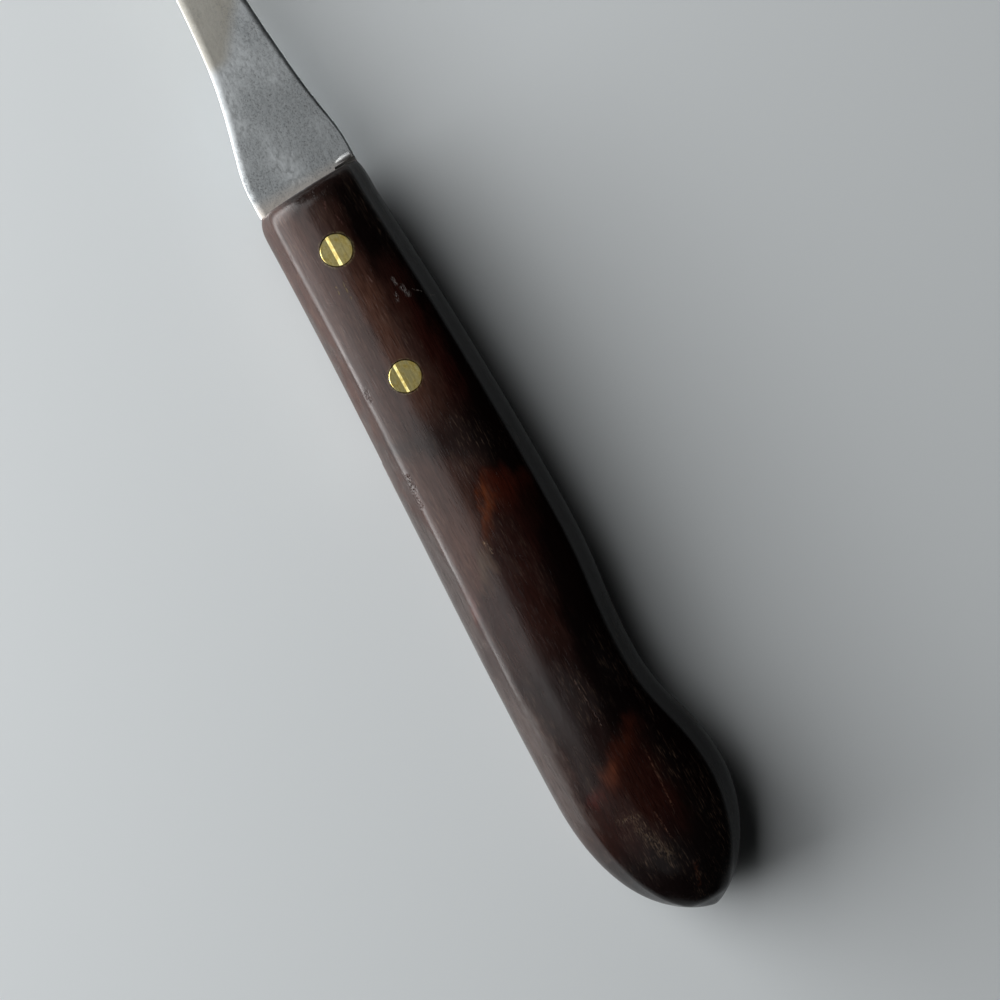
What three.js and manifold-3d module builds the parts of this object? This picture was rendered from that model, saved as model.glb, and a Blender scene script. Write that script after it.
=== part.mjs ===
// A carving fork: a flat steel fork whose short tang sits in a slot of a one-piece rosewood handle,
// held there by two brass cutler's rivets.
// Millimetres. +X runs along the fork to its points, +Y to the back of the handle, +Z up.
// The pieces are laid out from the middle of the handle's front end, at half its thickness.
// The whole is then set on the surface that it lies on, with the origin under the middle of its box.

import * as THREE from "three";
import { mergeVertices } from "three/addons/utils/BufferGeometryUtils.js";
import Module from "manifold-3d";

// Handle: a board of even thickness, shaped in plan, with its long edges fully rounded.
const HANDLE_LENGTH = 120.5;
const HANDLE_THICKNESS = 15.9;
const EDGE_ROUND = 7.6;
const FRONT_ROUND_LENGTH = 3.2;
const FRONT_ROUND_DEPTH = 2.6;
const BUTT_ROUND_LENGTH = 10;

// Half widths of the handle either side of its axis, and how far from the butt each one lies.
const BACK_FRONT = 9.15;
const BACK_BUTT = 11.4;
const BACK_BUTT_FROM_END = 24;
const BELLY_FRONT = 8.75;
const SWELL = 11.1;
const SWELL_FROM_END = 61;
const HOLLOW = 9.75;
const HOLLOW_FROM_END = 39;
const HUMP = 13.35;
const HUMP_FROM_END = 18;
const BEAK = 2.2;
const BEAK_BLUNTNESS = 2.4;
const FRONT_EASE = 5;

// The handle's front end and the fork's shoulder are cut a little askew: forward at the belly.
const FRONT_SLANT = THREE.MathUtils.degToRad(3.5);
const SLANT_FADE = 14;

// Fork plate, measured from the handle's front end.
const PLATE_THICKNESS = 2.6;
const TINE_TIP_THICKNESS = 1.5;
const FORK_REACH = 178;
const SHOULDER_HALF_WIDTH = 8.3;
const SHOULDER_LENGTH = 3.4;
const WAIST_HALF_WIDTH = 4.2;
const WAIST_FROM_HANDLE = 46;
const SHANK_OFFSET = 0.65;
const CROTCH_FROM_HANDLE = 87;
const GAP_HALF_WIDTH = 4.7;
const HEAD_HALF_WIDTH = 10.8;
const HEAD_PAST_CROTCH = 8;
const TIP_HALF_SPACING = 7.1;
const TIP_WIDTH = 1.5;
const POINT_LENGTH = 9;
const EDGE_BEVEL = 1.1;
const EDGE_DROP = 0.9;
const WAIST_BEVEL = 2.2;

// Side view of the fork: flat out of the handle, down to the sweep of the tines, up to the points.
const FLAT_LENGTH = 15;
const SWEEP_FROM_TIP = 56;
const TIP_RISE = 7;

// Tang: ground a little thinner to enter the slot, flush with the handle's back, closed in at the belly.
const TANG_THICKNESS = 2.4;
const TANG_BELLY = 4.9;
const TANG_PAST_RIVET = 9;
const TANG_CORNER = 3;
const TANG_SUNK = 0.15;
const SHOULDER_NOTCH = 0.9;

// Cutler's rivets: each a stud pressed into a tube, with heads ground flush with the cheeks.
const RIVET_FROM_FRONT = 10.35;
const RIVET_SPACING = 20.75;
const RIVET_OFFSET = 0.65;
const RIVET_HEAD_DIAMETER = 4.8;
const RIVET_HEAD_THICKNESS = 1.8;
const RIVET_TUBE_DIAMETER = 3.2;
const RIVET_PIN_DIAMETER = 1.9;
const RIVET_TUBE_SHORT = 0.6;
const RIVET_PIN_SHORT = 1.4;

// Clearances between the pieces.
const SLOT_CLEARANCE = 0.12;
const SEAT_CLEARANCE = 0.1;
const RIVET_CLEARANCE = 0.08;

// Fineness of the facets.
const EDGE_STEPS = 8;
const ROUND_STEPS = 28;
const OUTLINE_STEPS = 40;

const wasm = await Module();
wasm.setup();

// A closed geometry as a solid that can be joined and cut.
function solid(geometry) {
  const bare = geometry.clone();
  bare.deleteAttribute("normal");
  bare.deleteAttribute("uv");
  const merged = mergeVertices(bare, 1e-4);
  const vertProperties = merged.getAttribute("position").array;
  const triVerts = new Uint32Array(merged.getIndex().array);
  return new wasm.Manifold(new wasm.Mesh({ numProp: 3, vertProperties, triVerts }));
}

function geometryOf(body) {
  const { vertProperties, triVerts } = body.getMesh();
  const geometry = new THREE.BufferGeometry();
  geometry.setAttribute("position", new THREE.BufferAttribute(vertProperties, 3));
  geometry.setIndex(new THREE.BufferAttribute(triVerts, 1));
  geometry.computeVertexNormals();
  return geometry;
}

// A skin over rings of equally many points, each ring turning left about the way the rings advance,
// with a flat cap on the first ring and on the last.
function loft(rings) {
  const count = rings[0].length;
  const last = (rings.length - 1) * count;
  const faces = [];
  for (let start = 0; start < last; start += count) {
    for (let i = 0; i < count; i++) {
      const a = start + i;
      const b = start + ((i + 1) % count);
      faces.push(a, b, b + count, a, b + count, a + count);
    }
  }
  for (let i = 1; i + 1 < count; i++) {
    faces.push(0, i + 1, i);
    faces.push(last, last + i, last + i + 1);
  }
  const geometry = new THREE.BufferGeometry().setFromPoints(rings.flat());
  geometry.setIndex(faces);
  return geometry;
}

function spread(from, to, steps) {
  return Array.from({ length: steps }, (_, i) => from + ((to - from) * i) / steps);
}

// As spread, with the steps drawn together towards the far end, as round a quarter circle.
function spreadRound(from, to, steps) {
  return spread(0, Math.PI / 2, steps).map((turn) => from + (to - from) * Math.sin(turn));
}

// The height of a sampled outline at a distance along it.
function heightAt(points, along) {
  const next = Math.max(1, points.findIndex((point) => point.x >= along));
  const [a, b] = [points[next - 1], points[next]];
  return THREE.MathUtils.mapLinear(along, a.x, b.x, a.y, b.y);
}

// A quarter ellipse's set-back: the full depth at the start, none from the given length on.
function setBack(along, length, depth) {
  const left = Math.max(0, 1 - along / length);
  return depth * (1 - Math.sqrt(1 - left ** 2));
}

// A level curve from one height to another, with no slope at either end.
function easeTo(path, along, height) {
  const from = path.currentPoint;
  const third = (along - from.x) * 0.45;
  path.bezierCurveTo(from.x + third, from.y, along - third, height, along, height);
}

// The back of the handle, from its front end to the beak of the butt, as distance and half width.
function backOutline() {
  const butt = HANDLE_LENGTH - BACK_BUTT_FROM_END;
  const path = new THREE.Path();
  path.moveTo(0, SHOULDER_HALF_WIDTH);
  path.quadraticCurveTo(FRONT_EASE / 3, BACK_FRONT, FRONT_EASE, BACK_FRONT);
  path.bezierCurveTo(butt / 3, BACK_FRONT, (butt * 2) / 3, BACK_BUTT, butt, BACK_BUTT);
  const round = BACK_BUTT_FROM_END * 0.5;
  const fall = (BACK_BUTT + BEAK) * 0.7;
  const blunt = HANDLE_LENGTH - BEAK_BLUNTNESS;
  path.bezierCurveTo(butt + round, BACK_BUTT, blunt, fall - BEAK, HANDLE_LENGTH, -BEAK);
  return path.getPoints(OUTLINE_STEPS);
}

// The belly: a swell for the fingers, a hollow, and the hump that hooks behind the hand.
function bellyOutline() {
  const path = new THREE.Path();
  path.moveTo(0, SHOULDER_HALF_WIDTH);
  path.quadraticCurveTo(FRONT_EASE / 3, BELLY_FRONT, FRONT_EASE, BELLY_FRONT);
  const swell = HANDLE_LENGTH - SWELL_FROM_END;
  path.bezierCurveTo(swell / 3, (BELLY_FRONT + SWELL) / 2, (swell * 2) / 3, SWELL, swell, SWELL);
  easeTo(path, HANDLE_LENGTH - HOLLOW_FROM_END, HOLLOW);
  const hump = HANDLE_LENGTH - HUMP_FROM_END;
  easeTo(path, hump, HUMP);
  const round = HUMP_FROM_END * 0.35;
  const fall = (HUMP - BEAK) * 0.64;
  const blunt = HANDLE_LENGTH - BEAK_BLUNTNESS;
  path.bezierCurveTo(hump + round, HUMP, blunt, BEAK + fall, HANDLE_LENGTH, BEAK);
  return path.getPoints(OUTLINE_STEPS);
}

const back = backOutline();
const belly = bellyOutline();

// Half the handle's thickness at a distance from its front end.
function cheek(along) {
  const past = Math.max(0, along - HANDLE_LENGTH + BUTT_ROUND_LENGTH) / BUTT_ROUND_LENGTH;
  const full = HANDLE_THICKNESS / 2 - setBack(along, FRONT_ROUND_LENGTH, FRONT_ROUND_DEPTH);
  return full * Math.sqrt(1 - past ** 2);
}

// How far the slanted end shifts a section forward at a height across the handle.
function slantShift(along, y) {
  return -y * Math.tan(FRONT_SLANT) * Math.max(0, 1 - Math.abs(along) / SLANT_FADE);
}

// One section of the handle: level cheeks with a quarter ellipse at each of the four edges.
function handleRing(along) {
  const high = heightAt(back, along);
  const low = -heightAt(belly, along);
  const middle = (high + low) / 2;
  const half = (high - low) / 2;
  const land = Math.max(half - EDGE_ROUND, half * 0.03);
  const round = half - land;
  const rise = cheek(along);
  const ring = [];
  for (const [side, face] of [[1, -1], [1, 1], [-1, 1], [-1, -1]]) {
    for (let i = 0; i <= EDGE_STEPS; i++) {
      const step = side * face > 0 ? i : EDGE_STEPS - i;
      const turn = (Math.PI / 2) * (step / EDGE_STEPS);
      const atSide = step === 0 && face < 0;
      if (atSide) continue;
      const y = middle + side * (land + round * Math.cos(turn));
      const x = slantShift(along, y) - along;
      ring.push(new THREE.Vector3(x, y, face * rise * Math.sin(turn)));
    }
  }
  return ring;
}

// The wood before the slot and the rivet holes are cut.
function handleBlank() {
  const butt = HANDLE_LENGTH - BACK_BUTT_FROM_END;
  const end = HANDLE_LENGTH - 0.02;
  const front = spreadRound(FRONT_ROUND_LENGTH, 0, 6).reverse();
  const along = [
    0,
    ...front,
    ...spread(FRONT_EASE, butt, 26),
    ...spreadRound(butt, end, 18),
    end,
  ];
  return solid(loft(along.map(handleRing).reverse()));
}

// The slot that takes the tang, open at the front end and along the back.
function slotCutter() {
  const wide = HANDLE_THICKNESS;
  const end = -tangEnd - SLOT_CLEARANCE;
  const shape = new THREE.Shape();
  shape.moveTo(wide, -TANG_BELLY - SLOT_CLEARANCE);
  shape.lineTo(wide, BACK_BUTT + wide);
  shape.lineTo(end, BACK_BUTT + wide);
  shape.lineTo(end, TANG_CORNER - TANG_BELLY - SLOT_CLEARANCE);
  shape.quadraticCurveTo(
    end,
    -TANG_BELLY - SLOT_CLEARANCE,
    end + TANG_CORNER,
    -TANG_BELLY - SLOT_CLEARANCE,
  );
  const depth = TANG_THICKNESS + 2 * SLOT_CLEARANCE;
  const geometry = new THREE.ExtrudeGeometry(shape, { depth, bevelEnabled: false });
  return solid(geometry.translate(0, 0, -depth / 2));
}

const tangEnd = RIVET_FROM_FRONT + RIVET_SPACING + TANG_PAST_RIVET;
const rivets = [
  ["front", RIVET_FROM_FRONT],
  ["rear", RIVET_FROM_FRONT + RIVET_SPACING],
];
const headSeat = HANDLE_THICKNESS / 2 - RIVET_HEAD_THICKNESS;
const pastCheek = HANDLE_THICKNESS;

// A turned piece on a rivet's axis, from a profile of radius and height.
function turned(profile, fromFront) {
  const points = profile.map(([radius, height]) => new THREE.Vector2(radius, height));
  const geometry = new THREE.LatheGeometry(points, ROUND_STEPS);
  geometry.rotateX(Math.PI / 2);
  return solid(geometry.translate(-fromFront, RIVET_OFFSET, 0));
}

// The stepped hole for one rivet, counterbored at both cheeks.
function rivetHole(fromFront) {
  const head = RIVET_HEAD_DIAMETER / 2 + RIVET_CLEARANCE;
  const tube = RIVET_TUBE_DIAMETER / 2 + RIVET_CLEARANCE;
  const profile = [
    [0, -pastCheek],
    [head, -pastCheek],
    [head, -headSeat],
    [tube, -headSeat],
    [tube, headSeat],
    [head, headSeat],
    [head, pastCheek],
    [0, pastCheek],
  ];
  return turned(profile, fromFront);
}

function rivetStud(fromFront) {
  const head = RIVET_HEAD_DIAMETER / 2;
  const pin = RIVET_PIN_DIAMETER / 2;
  const profile = [
    [0, -headSeat + RIVET_PIN_SHORT],
    [pin, -headSeat + RIVET_PIN_SHORT],
    [pin, headSeat],
    [head, headSeat],
    [head, pastCheek],
    [0, pastCheek],
  ];
  return turned(profile, fromFront);
}

function rivetTube(fromFront) {
  const head = RIVET_HEAD_DIAMETER / 2;
  const tube = RIVET_TUBE_DIAMETER / 2;
  const bore = RIVET_PIN_DIAMETER / 2 + RIVET_CLEARANCE;
  const floor = -headSeat + RIVET_PIN_SHORT - RIVET_CLEARANCE;
  const profile = [
    [0, -pastCheek],
    [head, -pastCheek],
    [head, -headSeat],
    [tube, -headSeat],
    [tube, headSeat - RIVET_TUBE_SHORT],
    [bore, headSeat - RIVET_TUBE_SHORT],
    [bore, floor],
    [0, floor],
  ];
  return turned(profile, fromFront);
}

const sweep = FORK_REACH - SWEEP_FROM_TIP;
const head = CROTCH_FROM_HANDLE + HEAD_PAST_CROTCH;

// Half the thickness of the fork: even along the shank, thinning along the tines.
function halfPlate(along) {
  const share = THREE.MathUtils.clamp((along - head) / (FORK_REACH - head), 0, 1);
  return THREE.MathUtils.lerp(PLATE_THICKNESS, TINE_TIP_THICKNESS, share) / 2;
}

// Height of the fork's middle surface, so that the sweep lies level with the handle's lower cheek.
function bend(along) {
  const drop = HANDLE_THICKNESS / 2 - halfPlate(sweep);
  if (along > sweep) {
    return TIP_RISE * ((along - sweep) / SWEEP_FROM_TIP) ** 2 - drop;
  }
  const share = Math.max(0, along - FLAT_LENGTH) / (sweep - FLAT_LENGTH);
  return (-drop * (1 - Math.cos(Math.PI * share))) / 2;
}

// The fork's middle line leaves the handle's axis a little, towards the belly.
function middleLine(along) {
  return -SHANK_OFFSET * THREE.MathUtils.smoothstep(along, SHOULDER_LENGTH, WAIST_FROM_HANDLE / 2);
}

// Outer edge of one half of the fork, from its own middle line.
function outerOutline() {
  const path = new THREE.Path();
  const run = WAIST_FROM_HANDLE - SHOULDER_LENGTH;
  path.moveTo(0, SHOULDER_HALF_WIDTH);
  path.lineTo(SHOULDER_LENGTH, SHOULDER_HALF_WIDTH);
  path.bezierCurveTo(
    SHOULDER_LENGTH + run * 0.15,
    SHOULDER_HALF_WIDTH,
    SHOULDER_LENGTH + run * 0.25,
    WAIST_HALF_WIDTH,
    WAIST_FROM_HANDLE,
    WAIST_HALF_WIDTH,
  );
  easeTo(path, head, HEAD_HALF_WIDTH);
  const third = (FORK_REACH - head) / 3;
  const tip = TIP_HALF_SPACING + TIP_WIDTH / 2;
  path.bezierCurveTo(head + third, HEAD_HALF_WIDTH, FORK_REACH - third, tip, FORK_REACH, tip);
  return path.getPoints(OUTLINE_STEPS);
}

const outer = outerOutline();

// Inner edge of one half: past the middle line as far as the crotch, then round it and along the gap.
function innerEdge(along) {
  const past = along - CROTCH_FROM_HANDLE;
  if (past <= 0) {
    return Math.max(past, -2 * EDGE_BEVEL);
  }
  const round = GAP_HALF_WIDTH - setBack(past, GAP_HALF_WIDTH, GAP_HALF_WIDTH);
  const share = Math.max(0, along - head) / (FORK_REACH - head);
  return round + share * (TIP_HALF_SPACING - TIP_WIDTH / 2 - GAP_HALF_WIDTH);
}

// The points draw in over their last stretch, as a rounded nose.
function pointShare(along) {
  const past = Math.max(0, along - FORK_REACH + POINT_LENGTH) / POINT_LENGTH;
  return Math.sqrt(1 - 0.99 * past ** 2);
}

// One section through a half of the fork: a plate with both long edges rounded in two facets.
function forkRing(along, side) {
  const whole = [innerEdge(along), heightAt(outer, along)];
  const centre = (whole[0] + whole[1]) / 2;
  const share = pointShare(along);
  const [inner, edge] = whole.map((value) => centre + (value - centre) * share);
  const half = halfPlate(along) * share;
  const narrow = 1 - Math.abs(along - WAIST_FROM_HANDLE) / (WAIST_FROM_HANDLE - SHOULDER_LENGTH);
  const widest = THREE.MathUtils.lerp(EDGE_BEVEL, WAIST_BEVEL, Math.max(0, narrow));
  const wide = Math.min(widest, (edge - inner) * 0.4);
  const inside = Math.min(EDGE_BEVEL, (edge - inner) * 0.4);
  const drop = Math.min(EDGE_DROP, half * 0.7);
  const upper = [
    [edge, half - drop],
    [edge - wide * 0.3, half - drop * 0.3],
    [edge - wide, half],
    [inner + inside, half],
    [inner + inside * 0.3, half - drop * 0.3],
    [inner, half - drop],
  ];
  const lower = upper.map(([y, z]) => [y, -z]).reverse();
  const ring = [...upper, ...lower].map(([out, z]) => {
    const y = middleLine(along) + side * out;
    return new THREE.Vector3(along + slantShift(along, y), y, bend(along) + z);
  });
  return side > 0 ? ring : ring.reverse();
}

// One half of the fork, from its shoulder at the handle to its point.
function forkHalf(side, start) {
  const point = FORK_REACH - POINT_LENGTH;
  const round = CROTCH_FROM_HANDLE + GAP_HALF_WIDTH;
  const along = [
    start,
    ...spread(SHOULDER_LENGTH, FLAT_LENGTH, 5),
    ...spread(FLAT_LENGTH, WAIST_FROM_HANDLE, 8),
    ...spread(WAIST_FROM_HANDLE, CROTCH_FROM_HANDLE - 2 * EDGE_BEVEL, 10),
    CROTCH_FROM_HANDLE - 2 * EDGE_BEVEL,
    CROTCH_FROM_HANDLE - EDGE_BEVEL,
    ...spreadRound(round, CROTCH_FROM_HANDLE, 8).reverse(),
    ...spread(round, point, 20).slice(1),
    ...spreadRound(point, FORK_REACH, 7),
    FORK_REACH,
  ];
  return solid(loft(along.map((value) => forkRing(value, side))));
}

// The tang, with its back edge along the back of the handle and a hole for each rivet.
function tang() {
  const shape = new THREE.Shape();
  const root = SHOULDER_LENGTH;
  shape.moveTo(root, -TANG_BELLY);
  shape.lineTo(root, SHOULDER_HALF_WIDTH - EDGE_BEVEL);
  shape.lineTo(SEAT_CLEARANCE, SHOULDER_HALF_WIDTH - EDGE_BEVEL);
  const along = spread(SEAT_CLEARANCE, tangEnd, 12);
  for (const value of [...along, tangEnd]) {
    shape.lineTo(-value, heightAt(back, value) - TANG_SUNK);
  }
  shape.lineTo(-tangEnd, TANG_CORNER - TANG_BELLY);
  shape.quadraticCurveTo(-tangEnd, -TANG_BELLY, TANG_CORNER - tangEnd, -TANG_BELLY);
  for (const [, fromFront] of rivets) {
    const hole = new THREE.Path();
    const radius = RIVET_TUBE_DIAMETER / 2 + RIVET_CLEARANCE;
    hole.absarc(-fromFront, RIVET_OFFSET, radius, 0, 2 * Math.PI, true);
    shape.holes.push(hole);
  }
  const settings = { depth: TANG_THICKNESS, bevelEnabled: false, curveSegments: ROUND_STEPS / 2 };
  const geometry = new THREE.ExtrudeGeometry(shape, settings);
  return solid(geometry.translate(0, 0, -TANG_THICKNESS / 2));
}

const steel = { color: 0x9b9d9c, metalness: 1, roughness: 0.38 };
const rosewood = { color: 0x2c1712, metalness: 0, roughness: 0.35 };
const brass = { color: 0xb5964e, metalness: 1, roughness: 0.35 };

const carvingFork = new THREE.Group();

function addPiece(name, body, finish) {
  const mesh = new THREE.Mesh(geometryOf(body), new THREE.MeshStandardMaterial(finish));
  mesh.name = name;
  carvingFork.add(mesh);
}

const blank = handleBlank();
let wood = blank.subtract(slotCutter());
for (const [name, fromFront] of rivets) {
  wood = wood.subtract(rivetHole(fromFront));
  addPiece(`${name}_rivet_stud`, rivetStud(fromFront).intersect(blank), brass);
  addPiece(`${name}_rivet_tube`, rivetTube(fromFront).intersect(blank), brass);
}
addPiece("handle", wood, rosewood);
const backHalf = forkHalf(1, SEAT_CLEARANCE);
const bellyHalf = forkHalf(-1, SHOULDER_NOTCH);
addPiece("fork", backHalf.add(bellyHalf).add(tang()), steel);

// Set the fork down with its origin under the middle of its box.
const box = new THREE.Box3().setFromObject(carvingFork);
const middle = box.getCenter(new THREE.Vector3());
for (const mesh of carvingFork.children) {
  mesh.position.set(-middle.x, -middle.y, -box.min.z);
}

export default carvingFork;
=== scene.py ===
"""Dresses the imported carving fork: ground steel, rubbed rosewood and brass rivets, lying on a pale floor."""

import logging
import math
from dataclasses import dataclass, field, replace
from enum import Enum
from itertools import pairwise
from typing import Any, Iterable

import bmesh
import bpy
from bpy.types import Material, Node, NodeSocket, NodeTree, Object
from mathutils import Matrix, Vector


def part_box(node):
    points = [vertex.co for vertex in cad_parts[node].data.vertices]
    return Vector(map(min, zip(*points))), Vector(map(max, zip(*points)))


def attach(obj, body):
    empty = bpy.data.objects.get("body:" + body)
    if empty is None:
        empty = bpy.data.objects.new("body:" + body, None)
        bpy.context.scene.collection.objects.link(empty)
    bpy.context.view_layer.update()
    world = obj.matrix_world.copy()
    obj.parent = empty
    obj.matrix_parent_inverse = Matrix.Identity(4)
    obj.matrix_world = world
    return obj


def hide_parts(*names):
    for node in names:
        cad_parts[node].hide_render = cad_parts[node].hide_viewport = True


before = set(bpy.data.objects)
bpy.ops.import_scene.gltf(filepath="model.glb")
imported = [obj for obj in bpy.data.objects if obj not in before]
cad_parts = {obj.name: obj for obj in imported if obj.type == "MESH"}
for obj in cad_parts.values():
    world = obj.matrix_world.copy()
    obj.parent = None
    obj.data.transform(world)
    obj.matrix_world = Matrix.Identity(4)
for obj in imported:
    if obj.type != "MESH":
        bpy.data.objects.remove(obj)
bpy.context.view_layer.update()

MM = 0.001
log = logging.getLogger("carving_fork")
Points = list[tuple[float, float]]

# Sockets of a colour mix: its share, the colours below and above, and the result.
SHARE, BELOW, ABOVE, MIXED = 0, 6, 7, 2
# A point this close to a cutting plane lies on it, and points this close share a place, in metres.
ON_PLANE = 1e-7
NEAR = 1e-6
# Edges sharper than this stay sharp, in degrees.
SHARP_ANGLE = 38
# Steps in the search for a place on an outline.
HALVINGS = 40


def linear(hex_colour: str) -> tuple[float, float, float, float]:
    """Turns an sRGB hex colour into a linear one.

    Args:
        hex_colour: Six hex digits, as in "8a5a2b".

    Returns:
        Linear red, green and blue, and an alpha of 1.
    """
    shares = [int(hex_colour[i:i + 2], 16) / 255 for i in (0, 2, 4)]
    red, green, blue = (s / 12.92 if s <= 0.04045 else ((s + 0.055) / 1.055) ** 2.4 for s in shares)
    return red, green, blue, 1.0


def feed(tree: NodeTree, node: Node, inputs: dict[Any, Any]) -> None:
    """Sets or links the inputs of a shader node.

    Args:
        tree: The material's node tree.
        node: The node.
        inputs: Input name or number to a value, or to the output socket that feeds it.
    """
    for key, value in inputs.items():
        if isinstance(value, NodeSocket):
            tree.links.new(value, node.inputs[key])
        else:
            node.inputs[key].default_value = value


def add_node(tree: NodeTree, kind: str, inputs: dict[Any, Any], **settings: Any) -> Node:
    """Adds one shader node with its settings, values and links.

    Args:
        tree: The material's node tree.
        kind: The node's type, without its common prefix.
        inputs: Input name or number to a value, or to the output socket that feeds it.
        **settings: The node's own properties.

    Returns:
        The new node.
    """
    made = tree.nodes.new("ShaderNode" + kind)
    for name, value in settings.items():
        setattr(made, name, value)
    feed(tree, made, inputs)
    return made


def open_material(name: str, zero: Vector, ways: tuple[int, ...] = (1, 1, 1)) -> tuple[Material, NodeSocket]:
    """Starts a material that is laid out in millimetres from a point of the piece.

    Args:
        name: The material's name.
        zero: The point, in metres.
        ways: 1 or -1, the way that the layout runs on each axis.

    Returns:
        The material and the layout's coordinates.
    """
    made = bpy.data.materials.new(name)
    made.use_nodes = True
    row = add_node(made.node_tree, "TexCoord", {}).outputs["Object"]
    start = tuple(-way * value / MM for way, value in zip(ways, zero))
    layout = {"Vector": row, "Location": start, "Scale": tuple(way / MM for way in ways)}
    return made, add_node(made.node_tree, "Mapping", layout).outputs[0]


def smoothstep(value: float, low: float, high: float) -> float:
    """Returns 0 below low, 1 above high and an even curve between them."""
    share = min(max((value - low) / (high - low), 0), 1)
    return share * share * (3 - 2 * share)


def set_back(along: float, length: float, depth: float) -> float:
    """Gives a quarter ellipse's set-back.

    Args:
        along: Distance from the start.
        length: Where the set-back ends.
        depth: The set-back at the start.

    Returns:
        The full depth at the start, and none from the length on.
    """
    left = max(0.0, 1 - along / length)
    return depth * (1 - math.sqrt(1 - left * left))


def evenly(start: float, end: float, steps: int) -> list[float]:
    """Returns steps places from start on, without the end."""
    return [start + (end - start) * i / steps for i in range(steps)]


def roundly(start: float, end: float, steps: int) -> list[float]:
    """Returns places from start on, drawn together towards the end as round a quarter circle."""
    return [start + (end - start) * math.sin(math.pi / 2 * i / steps) for i in range(steps)]


def quarter_round(steps: int) -> Points:
    """Returns the points of a quarter circle from its top to its side, out and up."""
    angles = [math.pi / 2 * i / steps for i in range(steps + 1)]
    return [(math.sin(angle), math.cos(angle)) for angle in angles]


class Edge(Enum):
    """The two long edges of a section."""

    BACK = 1
    BELLY = -1


class Cheek(Enum):
    """The two broad faces of the handle."""

    UPPER = 1
    LOWER = -1


class Way(Enum):
    """How a solid changes a piece."""

    CUT = "DIFFERENCE"
    JOIN = "UNION"


@dataclass(frozen=True)
class Bow:
    """One cubic stretch of an outline, its four points as distance along and half width."""

    start: tuple[float, float]
    lead: tuple[float, float]
    follow: tuple[float, float]
    end: tuple[float, float]

    def at(self, share: float, axis: int) -> float:
        """Returns one coordinate of the stretch at a share of its run."""
        rest = 1 - share
        points = (self.start, self.lead, self.follow, self.end)
        weights = (rest ** 3, 3 * rest ** 2 * share, 3 * rest * share ** 2, share ** 3)
        return sum(weight * point[axis] for weight, point in zip(weights, points))

    def height(self, along: float) -> float:
        """Finds the half width at a distance along the outline.

        Args:
            along: Distance, between the stretch's two ends.

        Returns:
            The half width there.
        """
        low, high = 0.0, 1.0
        for _ in range(HALVINGS):
            middle = (low + high) / 2
            if self.at(middle, 0) < along:
                low = middle
            else:
                high = middle
        return self.at(low, 1)


def level_bow(start: tuple[float, float], end: tuple[float, float], reach: float = 0.45) -> Bow:
    """Returns a stretch that leaves one point level and reaches the other level."""
    pull = (end[0] - start[0]) * reach
    return Bow(start, (start[0] + pull, start[1]), (end[0] - pull, end[1]), end)


def outline_height(bows: list[Bow], along: float) -> float:
    """Finds the half width of an outline of several stretches.

    Args:
        bows: The stretches, in order.
        along: Distance along the outline.

    Returns:
        The half width there.
    """
    for bow in bows:
        if along <= bow.end[0]:
            return bow.height(along)
    return bows[-1].end[1]


@dataclass(frozen=True)
class Corner:
    """The rounding of a section's long edge: its width across the face, and its depth below it."""

    width: float
    depth: float


@dataclass(frozen=True)
class Station:
    """One section through a bar, in millimetres from the middle of the handle's front end.

    Attributes:
        along: Place along the bar, positive towards the fork's points.
        back: Place of the edge at the back.
        belly: Place of the edge at the belly.
        half: Half the thickness.
        back_corner: Rounding at the back edge.
        belly_corner: Rounding at the belly edge.
        rise: Height of the middle of the thickness.
        skew: How far the section is turned in plan, in radians.
    """

    along: float
    back: float
    belly: float
    half: float
    back_corner: Corner
    belly_corner: Corner
    rise: float = 0.0
    skew: float = 0.0

    def edge(self, edge: Edge) -> float:
        """Returns the place of one edge."""
        return self.back if edge is Edge.BACK else self.belly

    def corner(self, edge: Edge) -> Corner:
        """Returns the rounding at one edge."""
        return self.back_corner if edge is Edge.BACK else self.belly_corner


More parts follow.
